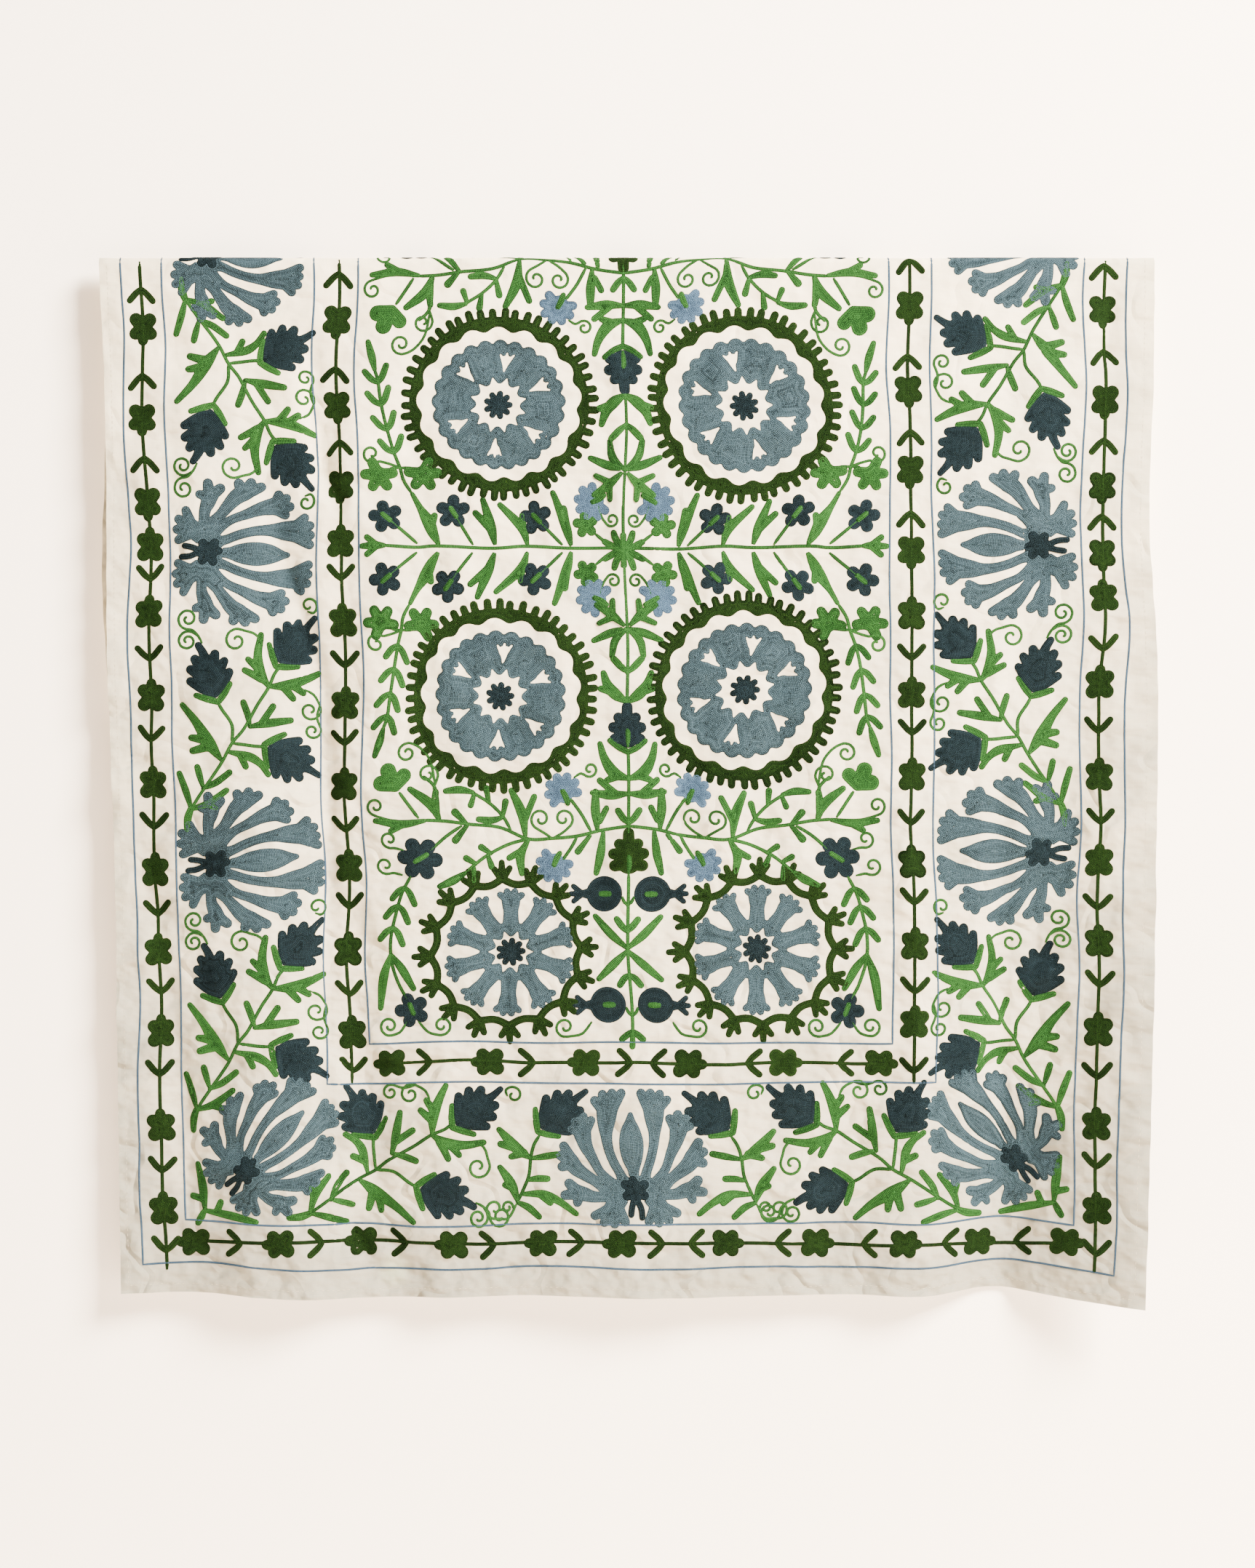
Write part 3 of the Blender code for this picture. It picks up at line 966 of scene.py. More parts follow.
def wave_over(u, v, size, way, rng):
    """An even wave over the cloth, in one direction and starting anywhere."""
    return np.sin((u * math.cos(way) + v * math.sin(way)) * 2 * math.pi / size + rng.uniform(0, 6.3))


def wrinkles(u, v, amount):
    """The creases, and the small pucker and crumple of washed cotton."""
    rng = np.random.default_rng(41)
    height = np.zeros(np.shape(u))
    for points, half_width, depth in CREASES:
        height += CREASE_DEPTH * crease(u, v, points, half_width, depth)
    # Crumples: more of them low down, mostly lying across
    for _ in range(130):
        at_u, at_v = rng.uniform(-0.88, 0.88), FRONT_DROP - 1.5 * rng.uniform() ** 1.5
        if rng.uniform() < 0.25:
            at_v = rng.uniform(-0.75, 0.3)
        length = rng.uniform(0.03, 0.11)
        lean = rng.normal(0, 0.5) + (math.pi / 2 if rng.uniform() < 0.3 else 0)
        half_width = rng.uniform(0.009, 0.016)
        depth = rng.uniform(0.0005, 0.0018) * rng.choice((-1, 1))
        along = (u - at_u) * math.cos(lean) + (v - at_v) * math.sin(lean)
        off = (v - at_v) * math.cos(lean) - (u - at_u) * math.sin(lean) + 0.5 * along**2
        height += CREASE_DEPTH * depth * np.exp(-((along / length) ** 2) - (off / half_width) ** 2)
    # Pucker where stitches draw the cloth together
    for _ in range(36):
        size, way = rng.uniform(0.045, 0.16), rng.uniform(0, math.pi)
        height += PUCKER_DEPTH * size * wave_over(u, v, size, way, rng)
    # Side hems draw up in short waves
    edge = np.exp(-(HALF_WIDTH - np.abs(u)) / 0.03)
    height += HEM_WAVE * edge * np.sin(v * 2 * math.pi / 0.083 + 2.5 * np.sin(v * 9))
    return amount * height * ease(0.02, 0.10, np.abs(v))


def cloth_points(u, v, amount):
    """Points of the cloth's middle surface, in metres."""
    drop = np.abs(v)
    front = v > 0
    x = hung_across(u, v)
    left = np.where(front, along_table(FRONT_EDGES, drop, 1), along_table(BACK_EDGES, drop, 1))
    right = np.where(front, along_table(FRONT_EDGES, drop, 2), along_table(BACK_EDGES, drop, 2))
    across = (x - left) / (right - left) * CLOTH_WIDTH - HALF_WIDTH
    depth = np.where(front, fold_depth(FRONT_FOLDS, across, drop), fold_depth(BACK_FOLDS, across, drop))
    depth = depth + wrinkles(u, v, amount)
    turn = np.minimum(drop / BEND_RADIUS, math.pi / 2)
    y = np.where(front, -1, 1) * (BEND_RADIUS * np.sin(turn) + depth)
    z = BEND_RADIUS * np.cos(turn) - FOLD_RADIUS - np.maximum(drop - BEND_LENGTH, 0)
    rise = along_table(HEM_RISE, across, 1) * ease(RISE_FROM, RISE_BY, drop)
    return np.stack([x, y, z + np.where(front, rise, 0)], axis=-1)


class Sheet:
    """The sheet's grid of points, and the surface between them that everything is stitched to."""

    def __init__(self, amount):
        inner = HALF_WIDTH - HEM_WIDTH
        self.u = np.concatenate([[-HALF_WIDTH], np.linspace(-inner, inner, ACROSS_POINTS), [HALF_WIDTH]])
        back = np.linspace(HEM_WIDTH - BACK_DROP, -BEND_LENGTH, BACK_POINTS)
        bend = np.linspace(-BEND_LENGTH, BEND_LENGTH, FOLD_POINTS)
        front = np.linspace(BEND_LENGTH, FRONT_DROP - HEM_WIDTH, FRONT_POINTS)
        self.v = np.concatenate([[-BACK_DROP], back, bend[1:-1], front, [FRONT_DROP]])
        u, v = np.meshgrid(self.u, self.v)
        self.flat = np.stack([u, v], axis=-1)
        self.points = cloth_points(u, v, amount)
        out = np.cross(np.gradient(self.points, axis=0), np.gradient(self.points, axis=1))
        self.normals = out / np.linalg.norm(out, axis=-1, keepdims=True)

    def at(self, flat):
        """Points and outward directions at places on the flat cloth."""
        column = np.clip(np.searchsorted(self.u, flat[:, 0]) - 1, 0, len(self.u) - 2)
        row = np.clip(np.searchsorted(self.v, flat[:, 1]) - 1, 0, len(self.v) - 2)
        s = ((flat[:, 0] - self.u[column]) / (self.u[column + 1] - self.u[column]))[:, None]
        t = ((flat[:, 1] - self.v[row]) / (self.v[row + 1] - self.v[row]))[:, None]

        def between(grid):
            low = grid[row, column] * (1 - s) + grid[row, column + 1] * s
            return low * (1 - t) + (grid[row + 1, column] * (1 - s) + grid[row + 1, column + 1] * s) * t

        out = between(self.normals)
        return between(self.points), out / np.linalg.norm(out, axis=1, keepdims=True)


SHEETS = {}


def sheet_for(settings):
    key = round(settings.wrinkle_amount, 4)
    if key not in SHEETS:
        SHEETS[key] = Sheet(key)
    return SHEETS[key]


# Laying motifs on the cloth. Rows are thread, places on the flat cloth in metres, lift in mm, and width


def set_down(motif, x, drop, heading=0.0, scale=1.0, rng=None):
    """A motif where it hangs in front, a little off true as a hand lays it."""
    if rng is not None:
        heading, scale = heading + rng.normal(0, 1.6), scale * (1 + rng.normal(0, 0.018))
    return Motif().add(motif, (x, -drop), heading, scale)


def flattened(motif):
    """A motif's rows on the flat cloth."""
    cuts = np.cumsum([len(row[1]) for row in motif.rows])[:-1]
    laid = np.split(hung_back(np.vstack([row[1] for row in motif.rows])), cuts)
    return [(thread, flat, lift, wide) for (thread, _points, lift, wide), flat in zip(motif.rows, laid)]


def flipped(rows, across=False, along=False):
    """Rows mirrored about the pattern's middle lines."""
    turn = np.array((-1.0 if across else 1.0, -1.0 if along else 1.0))
    centre = np.array((0.0, CENTRE_DROP))
    return [(thread, (row - centre) * turn + centre, lift, wide) for thread, row, lift, wide in rows]


def both_ends(rows, drop):
    """What lies below the pattern's lower middle comes again behind."""
    return rows + flipped(rows, along=True) if drop > 2 * HUNG_CENTRE + FOLD_MARGIN else rows


def border_rows():
    rng = np.random.default_rng(7)
    bloom, pair, rows = rosette(), leaf_pair(), []

    def lay(motif, x, drop, heading):
        return both_ends(flattened(set_down(motif, x, drop, heading, rng=rng)), drop)

    for _name, top, foot, blooms_up, blooms, pairs_up, pairs, end in BORDER_COLUMNS:
        lean = foot - top
        for drops, motif, heading in (
            (blooms_up, bloom, 180),
            (blooms, bloom, 0),
            (pairs_up, pair, 180),
            (pairs, pair, 0),
        ):
            for drop in drops:
                rows += lay(motif, top + lean * drop / BORDER_FOOT, drop, heading)
        drops = np.linspace(0, end, int(end / 40))
        wander = np.cumsum(rng.normal(0, 0.5, len(drops)))
        stem = np.column_stack([top + lean * drops / BORDER_FOOT + wander - wander.mean(), -drops])
        front = flattened(Motif().line(DARK, *stem))
        rows += front
        behind = [(thread, row[row[:, 1] > 2 * CENTRE_DROP], lift, wide) for thread, row, lift, wide in front]
        rows += flipped(behind, along=True)
    for _name, drop, left, right, pairs_left, pairs_right in BORDER_ROWS:
        for places, motif, heading in (
            (left, bloom, 270),
            (right, bloom, 90),
            (pairs_left, pair, 270),
            (pairs_right, pair, 90),
        ):
            for x in places:
                rows += lay(motif, x, drop, heading)
        x = np.linspace(left[0], right[-1], 40)
        wander = np.cumsum(rng.normal(0, 0.5, len(x)))
        stem = np.column_stack([x, wander - wander.mean() - drop])
        rows += both_ends(flattened(Motif().line(DARK, *stem)), drop)
    return rows


def medallion_rows():
    rng = np.random.default_rng(11)
    rows = []
    for x, drop in SUN_MEDALLIONS:
        for make in (sun_disc, saw_ring):
            rows += flattened(set_down(make(rng), x, drop, rng.uniform(0, 60)))
    ring, disc = thorn_ring(), plume_disc()
    for x, drop in THORN_MEDALLIONS:
        for motif, aside in ((ring, math.copysign(6, x)), (disc, 0)):
            rows += both_ends(flattened(set_down(motif, x + aside, drop, rng.uniform(-4, 4))), drop)
    return rows


def palmette_rows():
    rng = np.random.default_rng(13)
    motif, rows = palmette(), []
    for x, drop, heading, breadth, length in PALMETTES:
        shaped = Motif().put(motif, ((breadth, 0), (0, length)), (0, 0))
        rows += both_ends(flattened(set_down(shaped, x, drop, heading, rng=rng)), drop)
    return rows


def band_vine_rows():
    vine, foot, sprig, rows = band_vine(), foot_vine(), corner_sprig(), []
    for x, drop, turn in BAND_VINES:
        rows += both_ends(flattened(Motif().put(vine, turn, (x, -drop))), drop)
    for motif, places in ((foot, FOOT_VINES), (sprig, CORNER_SPRIGS)):
        for x, drop, side in places:
            rows += both_ends(flattened(Motif().put(motif, ((side, 0), (0, 1)), (x, -drop))), drop)
    return rows


def moved_along(rows, by):
    """Rows moved down the flat cloth."""
    return [(thread, row + (0, by), lift, wide) for thread, row, lift, wide in rows]


def field_rows():
    rows = []
    quarter = flattened(Motif().add(field_quarter(), (0, -HUNG_CENTRE)))
    for across in (False, True):
        for along in (False, True):
            # The upper half hangs a little lower than its mirror image would
            rows += moved_along(flipped(quarter, across, along), 0.006 * along)
    # The middle lines are charted on the flat cloth
    centre = np.array((0.0, CENTRE_DROP))
    for motif, upright in ((middle_line(), True), (side_line(), False)):
        laid = [(thread, row * (MM, -MM) + centre, lift, wide) for thread, row, lift, wide in motif.rows]
        rows += laid + moved_along(flipped(laid, across=not upright, along=upright), 0.009 * upright)
    return rows


def rectangle(half, low, high):
    """The corners of a rectangle on the flat cloth, back to the first."""
    return np.array(((-half, low), (half, low), (half, high), (-half, high), (-half, low)))


def ruled_rows():
    """Each ruled frame is one row of chain stitch."""
    rows = []
    for half, reach in RULED_FRAMES:
        line = []
        corners = rectangle(half, -reach, reach)
        for a, b in zip(corners, corners[1:]):
            line.append(np.linspace(a, b, int(np.hypot(*(b - a)) / 0.008), endpoint=False))
        rows.append(("teal", np.vstack([*line, corners[-1:]]) + (0, CENTRE_DROP), 0.0, RULED_WIDTH))
    return rows


def hand_drift(flat):
    """The small wander of a pattern drawn by hand, in metres."""
    rng = np.random.default_rng(23)
    moved = np.zeros_like(flat)
    for _ in range(14):
        size, way = rng.uniform(0.10, 0.42), rng.uniform(0, math.pi)
        wave = wave_over(flat[:, 0], flat[:, 1], size, way, rng)
        moved += DRIFT * size * wave[:, None] * rng.normal(0, 1, 2)
    return flat + moved


# Making pieces


def linear(code):
    """An sRGB colour code as linear red, green, blue and alpha."""
    parts = [int(code[i : i + 2], 16) / 255 for i in (0, 2, 4)]
    return (*[p / 12.92 if p <= 0.04045 else ((p + 0.055) / 1.055) ** 2.4 for p in parts], 1.0)


def add_node(tree, kind, inputs=None, **settings):
    """Adds a node with its settings, and sets or links its inputs."""
    made = tree.nodes.new(kind)
    for name, value in settings.items():
        setattr(made, name, value)
    for name, value in (inputs or {}).items():
        if isinstance(value, bpy.types.NodeSocket):
            tree.links.new(value, made.inputs[name])
        else:
            made.inputs[name].default_value = value
    return made


def new_material(name):
    made = bpy.data.materials.new(name)
    made.use_nodes = True
    made.node_tree.nodes.clear()
    return made, made.node_tree


def maths(tree, operation, *values, **settings):
    """Adds a math node over numbers and sockets, and gives its result."""
    inputs = dict(enumerate(values))
    return add_node(tree, "ShaderNodeMath", inputs, operation=operation, **settings).outputs[0]


def noise(tree, place, scale, detail):
    inputs = {"Vector": place, "Scale": scale, "Detail": detail}
    return add_node(tree, "ShaderNodeTexNoise", inputs).outputs[0]


def stretched(tree, place, by):
    return add_node(tree, "ShaderNodeVectorMath", {0: place, 1: by}, operation="MULTIPLY").outputs[0]


def spread(tree, value, low, high, to_low=0.0, to_high=1.0):
    """Carries a value from the range low to high over to another range."""
    ends = {"From Min": low, "From Max": high, "To Min": to_low, "To Max": to_high}
    return add_node(tree, "ShaderNodeMapRange", {"Value": value, **ends}).outputs[0]


def mixed(tree, share, first, second, **settings):
    """Adds a mix of two colours."""
    inputs = {0: share, 6: first, 7: second}
    return add_node(tree, "ShaderNodeMix", inputs, data_type="RGBA", **settings).outputs[2]


def bumped(tree, height, strength, distance, below=None):
    """Adds relief over the relief below, if there is any."""
    inputs = {"Height": height, "Strength": strength, "Distance": distance}
    if below is not None:
        inputs["Normal"] = below
    return add_node(tree, "ShaderNodeBump", inputs).outputs[0]


def matt_surface(tree, base, roughness, shine, bump):
    """Joins a matt surface to the material's output."""
    inputs = {"Base Color": base, "Roughness": roughness, "Specular IOR Level": shine, "Normal": bump}
    shader = add_node(tree, "ShaderNodeBsdfPrincipled", inputs)
    add_node(tree, "ShaderNodeOutputMaterial", {0: shader.outputs[0]})


def cotton_material(settings):
    """Undyed plain-woven cotton, washed, matt and slightly uneven in tone."""
    made, tree = new_material("undyed_cotton")
    place = add_node(tree, "ShaderNodeUVMap", uv_map="flat").outputs[0]
    # The flat cloth's own metres. The yarns are near 0.4 mm apart, drawn at 1.3 mm so that they show
    along_yarns = ((1.0, 0.05, 1.0), (0.05, 1.0, 1.0))
    slubs = [noise(tree, stretched(tree, place, by), 760.0, 2.0) for by in along_yarns]
    weave = maths(tree, "ADD", *slubs)
    cloud = maths(tree, "MULTIPLY_ADD", noise(tree, place, 5.5, 5.0), 0.45, 0.305)
    across, down, _none = add_node(tree, "ShaderNodeSeparateXYZ", {0: place}).outputs
    # Painted shade: the cotton darkens from the fold down towards the hem
    cloud = maths(tree, "MULTIPLY_ADD", down, -0.2, cloud)
    # Painted shade: darker towards the side edges, and more so along the hem
    cloud = maths(tree, "MULTIPLY_ADD", maths(tree, "POWER", across, 6.0), -0.38, cloud)
    low = maths(tree, "POWER", maths(tree, "MULTIPLY", down, 0.57), 16.0)
    cloud = maths(tree, "MULTIPLY_ADD", low, -0.2, cloud)
    tone = spread(tree, cloud, 0.05, 0.55)
    base = mixed(tree, tone, settings.cotton_dark_tone_and_painted_shade, settings.cotton_colour)
    base = mixed(tree, 1.0, base, spread(tree, weave, 0.7, 1.3, 0.945, 1.03), blend_type="MULTIPLY")
    # A faint green stain low on the left
    away = add_node(tree, "ShaderNodeVectorMath", {0: place, 1: (-0.415, 1.734, 0.0)}, operation="DISTANCE")
    base = mixed(tree, spread(tree, away.outputs[1], 0.006, 0.034, 0.30, 0.0), base, linear("A9B58C"))
    # Crumple that the mesh is too coarse for: soft swells 2 to 5 cm across, and thin creases between them
    low = spread(tree, down, 0.2, 1.7, 0.45, 1.0)
    swells = bumped(tree, noise(tree, stretched(tree, place, (1.0, 1.4, 1.0)), 24.0, 1.5), low, 0.017)
    fold = maths(tree, "ABSOLUTE", maths(tree, "ADD", noise(tree, place, 6.5, 2.0), -0.5))
    crumple = bumped(tree, maths(tree, "MINIMUM", fold, 0.045), low, 0.07, swells)
    matt_surface(tree, base, 0.92, 0.1, bumped(tree, weave, 0.35, 0.0003, crumple))
    return made


def thread_material(name, dark, light):
    """Cotton thread in chain stitch: dark in the links' hollows, with its tone drifting from row to row."""
    made, tree = new_material(name)
    place = add_node(tree, "ShaderNodeUVMap", uv_map="links").outputs[0]
    run, off, _none = add_node(tree, "ShaderNodeSeparateXYZ", {0: place}).outputs
    # One link for each unit along the row. The V of a link leans back from the middle of the row
    side = maths(tree, "ABSOLUTE", off)
    lean = maths(tree, "MULTIPLY_ADD", side, 0.55, run)
    link = maths(tree, "SINE", maths(tree, "MULTIPLY", lean, 2 * math.pi))
    # Painted light on the row's crown and outer edge, painted shade where the next row overlaps it
    painted_crown_light_groove_shade = spread(tree, maths(tree, "PINGPONG", side, 0.5), 0.0, 0.5, 0.2, -0.36)
    tone = add_node(tree, "ShaderNodeAttribute", attribute_name="tone").outputs[2]
    object_place = add_node(tree, "ShaderNodeTexCoord").outputs["Object"]
    fleck = maths(tree, "MULTIPLY_ADD", noise(tree, object_place, 330.0, 2.0), 0.9, -0.45)
    # The link's swing in colour is painted light and shade; the flecks are the thread's own
    relief = maths(tree, "ADD", maths(tree, "MULTIPLY_ADD", link, 0.34, fleck), painted_crown_light_groove_shade)
    share = maths(tree, "ADD", tone, relief, use_clamp=True)
    matt_surface(tree, mixed(tree, share, dark, light), 0.85, 0.03, bumped(tree, link, 0.6, 0.0005))
    return made


# thread: name in the list of finishes, setting that holds its dark shade, setting that holds its light shade
THREADS = {
    SLATE: ("thread_slate_blue", "slate_dark", "slate_light"),
    PALE: ("thread_slate_blue", "pale_dark", "pale_light"),
    "teal": ("thread_slate_blue", "teal_dark", "teal_light"),
    NAVY: ("thread_navy", "navy_dark", "navy_light"),
    DARK: ("thread_dark_green", "dark_green_dark", "dark_green_light"),
    GREEN: ("thread_leaf_green", "leaf_green_dark", "leaf_green_light"),
}


def material_for(settings, thread):
    if thread == "cotton":
        return bpy.data.materials.get("undyed_cotton") or cotton_material(settings)
    name = thread + "_thread"
    _slot, dark, light = THREADS[thread]
    known = bpy.data.materials.get(name)
    return known or thread_material(name, getattr(settings, dark), getattr(settings, light))


def mesh_piece(name, points, quads, material):
    """A piece from arrays of points and four-cornered faces."""
    mesh = bpy.data.meshes.new(name)
    mesh.vertices.add(len(points))
    mesh.vertices.foreach_set("co", points.astype(np.float32).ravel())
    mesh.loops.add(quads.size)
    mesh.loops.foreach_set("vertex_index", quads.astype(np.int32).ravel())
    mesh.polygons.add(len(quads))
    mesh.polygons.foreach_set("loop_start", np.arange(0, quads.size, 4, dtype=np.int32))
    mesh.polygons.foreach_set("use_smooth", np.ones(len(quads), bool))
    mesh.update(calc_edges=True)
    mesh.validate()
    mesh.materials.append(material)
    piece = bpy.data.objects.new(name, mesh)
    bpy.context.scene.collection.objects.link(piece)
    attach(piece, "root")
    return piece


def stitched(sheet, settings, name, thread, rows, behind=False):
    """Rows of chain stitch on the cloth's face, or the thin run that they leave on its back."""
    rng = np.random.default_rng(len(rows) + len(name))
    lines = []
    for row_thread, flat, lift, factor in rows:
        if behind:
            flat = flat[flat[:, 1] > 0.77]
            flat = np.vstack([flat[:-1:2], flat[-1:]]) if len(flat) > 1 else flat
        if row_thread == thread and len(flat) > 1:
            lines.append((flat, lift, factor))
    if not lines:
        return None
    sizes = np.array([len(line[0]) for line in lines])
    last = np.cumsum(sizes) - 1
    first = last - sizes + 1
    lift, factor = (np.repeat([line[k] for line in lines], sizes)[:, None] for k in (1, 2))
    p, out = sheet.at(hand_drift(np.vstack([line[0] for line in lines])))
    n = len(p)
    closed = (sizes > 3) & (np.linalg.norm(p[first] - p[last], axis=1) < 1e-6)
    ahead, before = np.arange(n) + 1, np.arange(n) - 1
    ahead[last] = np.where(closed, first + 1, last)
    before[first] = np.where(closed, last - 1, first)
    side = np.cross(out, p[ahead] - p[before])
    side /= np.linalg.norm(side, axis=1, keepdims=True) + 1e-12
    step = np.concatenate([[0.0], np.linalg.norm(np.diff(p, axis=0), axis=1)])
    step[first] = 0.0
    run = np.cumsum(step)
    run = (run - np.repeat(run[first], sizes)) / settings.link_length
    drift = np.repeat(rng.normal(0, 0.09, len(sizes)), sizes)
    tone = 0.5 + drift + 0.07 * np.sin(run * 0.31 + np.repeat(rng.uniform(0, 6.3, len(sizes)), sizes))
    wide = settings.row_width / 2 * factor
    # Open rows narrow at their ends
    for end in (first, last):
        wide[end] *= np.where(closed | (sizes < 3), 1.0, 0.6)[:, None]
    # Heights over the cloth's middle surface
    face = 0.001
    if behind:
        strips = [p - out * (face - 0.00013) - side * a * 0.0006 for a in (-1, 1)]
        across = (-1, 1)
    else:
        across = (-1, 0, 1)
        rise = {0: settings.row_height, 1: -0.00005}
        strips = [p + out * (face + lift * MM + rise[abs(a)]) + side * wide * a for a in across]
    i = np.delete(np.arange(n), last)
    starts = [k * n + i for k in range(len(across) - 1)]
    faces = [np.column_stack([a, a + n, a + n + 1, a + 1]) for a in starts]
    places = np.vstack([np.column_stack([run, np.full(n, float(a))]) for a in across])
    material = material_for(settings, thread)
    piece = mesh_piece(name, np.vstack(strips), np.vstack(faces), material)
    order = np.empty(len(piece.data.loops), np.int32)
    piece.data.loops.foreach_get("vertex_index", order)
    links = piece.data.uv_layers.new(name="links")
    links.data.foreach_set("uv", places[order].astype(np.float32).ravel())
    shades = piece.data.attributes.new("tone", "FLOAT", "POINT")
    shades.data.foreach_set("value", np.tile(tone, len(across)).astype(np.float32))
    return piece


ROWS = {}
GROUPS = {
    "ruled_lines": (ruled_rows, ("teal",)),
    "border": (border_rows, (DARK,)),
    "medallions": (medallion_rows, (SLATE, DARK, NAVY)),
    "palmettes": (palmette_rows, (SLATE, NAVY)),
    "band_vines": (band_vine_rows, (GREEN, NAVY)),
    "field": (field_rows, (GREEN, NAVY, PALE, DARK)),
}


def stitch_group(context, group):
    settings = context.scene.suzani
    make_rows, threads = GROUPS[group]
    rows = ROWS[group] = make_rows()
    for thread in threads:
        if stitched(sheet_for(settings), settings, f"{group}_{thread}", thread, rows) is None:
            raise RuntimeError(f"{group} has no rows in {thread}")


# Settings and operators

# The colour of the studio light
WARM = (1.0, 0.93, 0.84)


def shade(name, code):
    told = f"{name} of the thread or cloth"
    return FloatVectorProperty(
        name=name, description=told, subtype="COLOR", size=4, min=0, max=1, default=linear(code)
    )


def length(name, told, default):
    return FloatProperty(name=name, description=told, default=default, unit="LENGTH")


class SuzaniSettings(bpy.types.PropertyGroup):
    row_width: length("Row width", "Width of one row of chain stitch", 0.0064)
    row_height: length("Row height", "How far a row stands off the cloth", 0.0011)
    link_length: length("Link length", "Length of one chain stitch", 0.0028)
    wrinkle_amount: FloatProperty(
        name="Wrinkles", description="How crumpled the cloth is", default=1.0, min=0, max=1.5
    )
    cotton_colour: shade("Cotton", "DFD2B4")
    # The darker cotton colour: the cloth's uneven tone, and the painted shade towards the hem and the side
    # edges
    cotton_dark_tone_and_painted_shade: shade("Cotton, darker", "8B8778")
    # The dark and light ends of each thread hold its tone drifting from row to row, and the painted shade and
    # light of its links and grooves
    slate_dark: shade("Slate blue, dark", "0D1416")
    slate_light: shade("Slate blue, light", "36474F")
    pale_dark: shade("Pale slate, dark", "1D2834")
    pale_light: shade("Pale slate, light", "3E5469")
    teal_dark: shade("Teal, dark", "1E2B36")
    teal_light: shade("Teal, light", "3A4D60")
    navy_dark: shade("Navy, dark", "020606")
    navy_light: shade("Navy, light", "172227")
    dark_green_dark: shade("Dark green, dark", "020901")
    dark_green_light: shade("Dark green, light", "16280D")
    leaf_green_dark: shade("Leaf green, dark", "071C07")
    leaf_green_light: shade("Leaf green, light", "274E22")


class SUZANI_OT_cloth(bpy.types.Operator):
    """Make the cotton sheet on the solid's folds"""

    bl_idname = "suzani.cloth"
    bl_label = "Cloth"

    def execute(self, context):
        settings = context.scene.suzani
        sheet = sheet_for(settings)
        rows, columns = sheet.points.shape[:2]
        bpy.ops.object.select_all(action="DESELECT")
        bpy.ops.mesh.primitive_grid_add(x_subdivisions=columns - 1, y_subdivisions=rows - 1, size=2)
        cloth = context.object
        cloth.name = cloth.data.name = "cloth"
        if len(cloth.data.vertices) != rows * columns:
            raise RuntimeError("the grid has the wrong number of points")
        # The grid's rows run up from the front hem, so that its face looks outwards
        places = sheet.flat[::-1].reshape(-1, 2)
        cloth.data.vertices.foreach_set("co", sheet.points[::-1].reshape(-1, 3).astype(np.float32).ravel())
        order = np.empty(len(cloth.data.loops), np.int32)
        cloth.data.loops.foreach_get("vertex_index", order)
        for layer in list(cloth.data.uv_layers):
            cloth.data.uv_layers.remove(layer)
        flat = cloth.data.uv_layers.new(name="flat")
        flat.data.foreach_set("uv", places[order].astype(np.float32).ravel())
        hem = cloth.vertex_groups.new(name="hem")
        reach = HEM_WIDTH + 0.0001
        in_hem = np.abs(places[:, 0]) > HALF_WIDTH - reach
        in_hem |= (places[:, 1] < reach - BACK_DROP) | (places[:, 1] > FRONT_DROP - reach)
        hem.add(np.flatnonzero(in_hem).tolist(), 1.0, "REPLACE")
        thicken = cloth.modifiers.new("thickness", "SOLIDIFY")
        thicken.thickness = HEM_THICKNESS
        thicken.offset = 0.0
        thicken.vertex_group = hem.name
        thicken.thickness_vertex_group = FIELD_THICKNESS / HEM_THICKNESS
        bpy.ops.object.modifier_apply(modifier=thicken.name)
        bpy.ops.object.shade_smooth_by_angle(angle=math.radians(50))
        cloth.data.materials.clear()
        cloth.data.materials.append(material_for(settings, "cotton"))
        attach(cloth, "root")
        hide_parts("ground_cloth")
        return {"FINISHED"}


class SUZANI_OT_hem_stitches(bpy.types.Operator):
    """Sew the hem down with small spaced stitches"""

    bl_idname = "suzani.hem_stitches"
    bl_label = "Hem stitches"

    def execute(self, context):
        settings = context.scene.suzani
        sheet = sheet_for(settings)
        rng = np.random.default_rng(5)
        corners = rectangle(HALF_WIDTH - SEAM_INSET, SEAM_INSET - BACK_DROP, FRONT_DROP - SEAM_INSET)
        points, quads = [], []
        for a, b in zip(corners, corners[1:]):
            way = (b - a) / np.hypot(*(b - a))
            at = 0.004
            while at < np.hypot(*(b - a)) - 0.006:
                start = a + way * at + rng.normal(0, 0.0003, 2)
                end = start + way * rng.uniform(0.0035, 0.005)
                p, out = sheet.at(np.array((start, end)))
                side = np.cross(out, np.roll(p, -1, axis=0) - p)[:1]
                side /= np.linalg.norm(side)
                first = len(points) * 4
                raised = p + out * SEAM_HEIGHT
                points.append(np.vstack([raised - side * SEAM_WIDTH, raised + side * SEAM_WIDTH]))
                quads.append((first, first + 1, first + 3, first + 2))
                at += SEAM_PITCH
        cotton = material_for(settings, "cotton")
        piece = mesh_piece("hem_stitches", np.vstack(points), np.array(quads), cotton)
        piece.data.uv_layers.new(name="flat")
        return {"FINISHED"}


def group_operator(group, label, told):
    """An operator class that stitches one group of motifs."""

    def execute(self, context):
        stitch_group(context, group)
        return {"FINISHED"}

    return type(
        "SUZANI_OT_" + group,
        (bpy.types.Operator,),
        {"__doc__": told, "bl_idname": "suzani." + group, "bl_label": label, "execute": execute},
    )


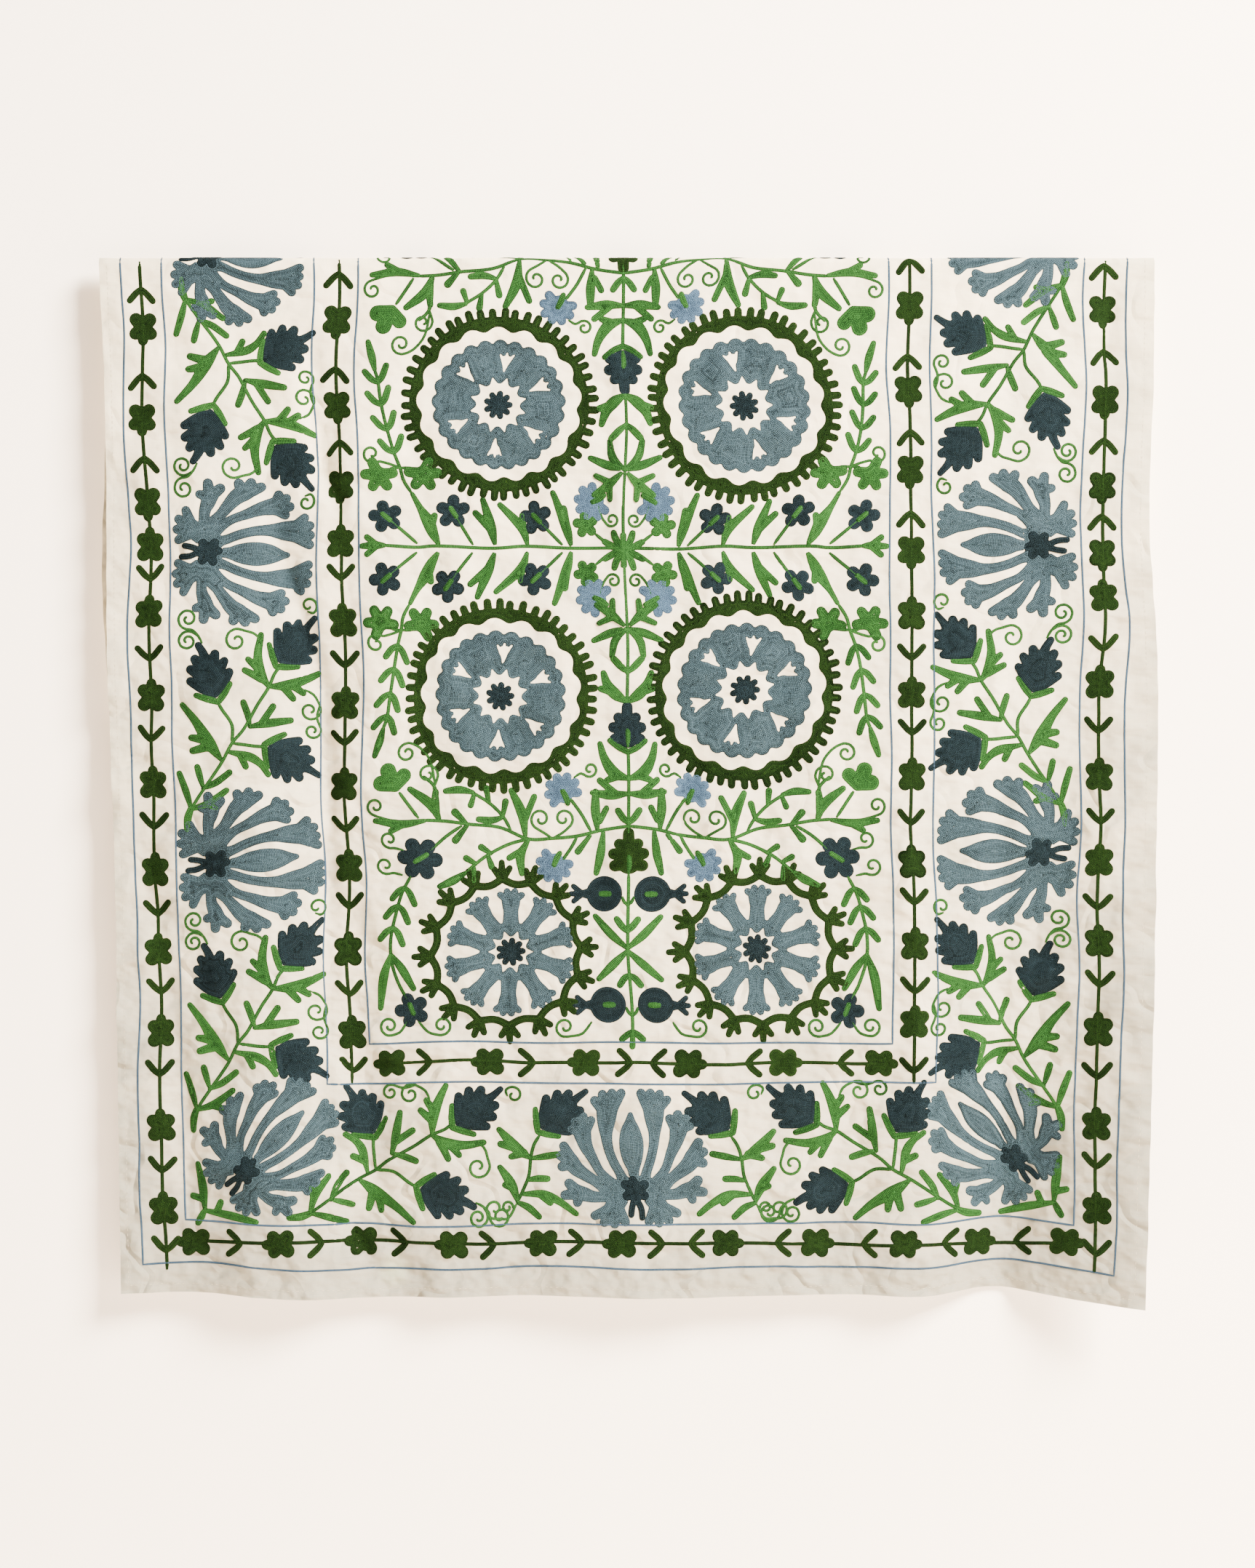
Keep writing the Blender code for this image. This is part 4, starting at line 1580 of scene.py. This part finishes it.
class SUZANI_OT_reverse(bpy.types.Operator):
    """Lay the thin runs that the stitches leave on the back of the front part, where it shows from behind"""

    bl_idname = "suzani.reverse"
    bl_label = "Stitches seen from behind"

    def execute(self, context):
        settings = context.scene.suzani
        if not ROWS:
            raise RuntimeError("stitch the motifs first")
        rows = [row for group in ROWS.values() for row in group]
        for thread in THREADS:
            stitched(sheet_for(settings), settings, f"reverse_{thread}", thread, rows, True)
        return {"FINISHED"}


class SUZANI_OT_stage(bpy.types.Operator):
    """Declare the sheet, and add a pale wall and floor, soft lights and the camera"""

    bl_idname = "suzani.stage"
    bl_label = "Stage"

    def execute(self, context):
        cloth = bpy.data.objects.get("cloth")
        if cloth is None:
            raise RuntimeError("make the cloth first")

        made, tree = new_material("stage_paint")
        inputs = {"Base Color": linear("FAEFE2"), "Roughness": 0.9}
        inputs.update({"Emission Color": linear("FFF0E2"), "Emission Strength": 0.07})
        paint = add_node(tree, "ShaderNodeBsdfPrincipled", inputs)
        clear = add_node(tree, "ShaderNodeBsdfTransparent").outputs[0]
        behind = add_node(tree, "ShaderNodeNewGeometry").outputs["Backfacing"]
        # Seen from behind, and by the light behind, the wall isn't there
        passing = add_node(tree, "ShaderNodeLightPath").outputs["Is Shadow Ray"]
        gone = maths(tree, "MAXIMUM", behind, passing)
        shown = add_node(tree, "ShaderNodeMixShader", {0: gone, 1: paint.outputs[0], 2: clear})
        add_node(tree, "ShaderNodeOutputMaterial", {0: shown.outputs[0]})
        for name, size, at, turn in (
            ("stage_wall", 14.0, (0, 0.041, 1.0), (math.pi / 2, 0, 0)),
            ("stage_floor", 14.0, (0, 0, -2.6), (0, 0, 0)),
        ):
            bpy.ops.object.select_all(action="DESELECT")
            bpy.ops.mesh.primitive_plane_add(size=size, location=at, rotation=turn)
            context.object.name = name
            context.object.data.materials.append(made)

        for name, at, size, power in (
            ("key", (5.0, -4.8, 4.3), 3.4, 7500.0),
            ("back", (1.5, 4.0, 1.0), 2.5, 1100.0),
        ):
            bpy.ops.object.light_add(type="AREA", location=at)
            light = context.object
            light.name = light.data.name = name
            light.data.energy, light.data.size, light.data.color = power, size, WARM
            x, y, z = np.array((0, 0, -0.95)) - at
            light.rotation_euler = (math.atan2(math.hypot(x, y), -z), 0, math.atan2(-x, y))
        world = bpy.data.worlds.new("studio")
        world.use_nodes = True
        world.node_tree.nodes["Background"].inputs[0].default_value = (1.0, 0.96, 0.92, 1.0)
        world.node_tree.nodes["Background"].inputs[1].default_value = 0.1
        context.scene.world = world

        bpy.ops.object.camera_add(location=(0.0007, -5.5, -0.8965), rotation=(math.pi / 2, 0, 0))
        camera = context.object
        camera.data.lens = 73.9
        context.scene.camera = camera
        context.scene.render.resolution_x = 1725
        context.scene.render.resolution_y = 2156
        return {"FINISHED"}


STITCHING = tuple(
    group_operator(*row)
    for row in (
        ("ruled_lines", "Ruled lines", "Stitch the four ruled frames"),
        ("border", "Border flowers", "Stitch the rows of rosettes and leaf pairs"),
        ("medallions", "Medallions", "Stitch the sawtooth and thorn medallions"),
        ("palmettes", "Palmettes", "Stitch the fans of the wide band"),
        ("band_vines", "Band vines", "Stitch the vines and buds of the wide band"),
        ("field", "Field", "Stitch the vines and flowers of the middle field"),
    )
)
OPERATORS = (SUZANI_OT_cloth, *STITCHING, SUZANI_OT_hem_stitches, SUZANI_OT_reverse, SUZANI_OT_stage)


class SUZANI_PT_panel(bpy.types.Panel):
    """Lists the pieces and their settings"""

    bl_label = "Suzani hanging"
    bl_idname = "SUZANI_PT_panel"
    bl_space_type = "VIEW_3D"
    bl_region_type = "UI"
    bl_category = "Suzani"

    def draw(self, context):
        for name in SuzaniSettings.__annotations__:
            self.layout.prop(context.scene.suzani, name)
        for operator in OPERATORS:
            self.layout.operator(operator.bl_idname)


CLASSES = (SuzaniSettings, *OPERATORS, SUZANI_PT_panel)


def register():
    for made in CLASSES:
        bpy.utils.register_class(made)
    bpy.types.Scene.suzani = PointerProperty(type=SuzaniSettings)


def unregister():
    del bpy.types.Scene.suzani
    for made in reversed(CLASSES):
        bpy.utils.unregister_class(made)


def main():
    register()
    for operator in OPERATORS:
        area, name = operator.bl_idname.split(".")
        getattr(getattr(bpy.ops, area), name)()


if __name__ == "__main__":
    main()
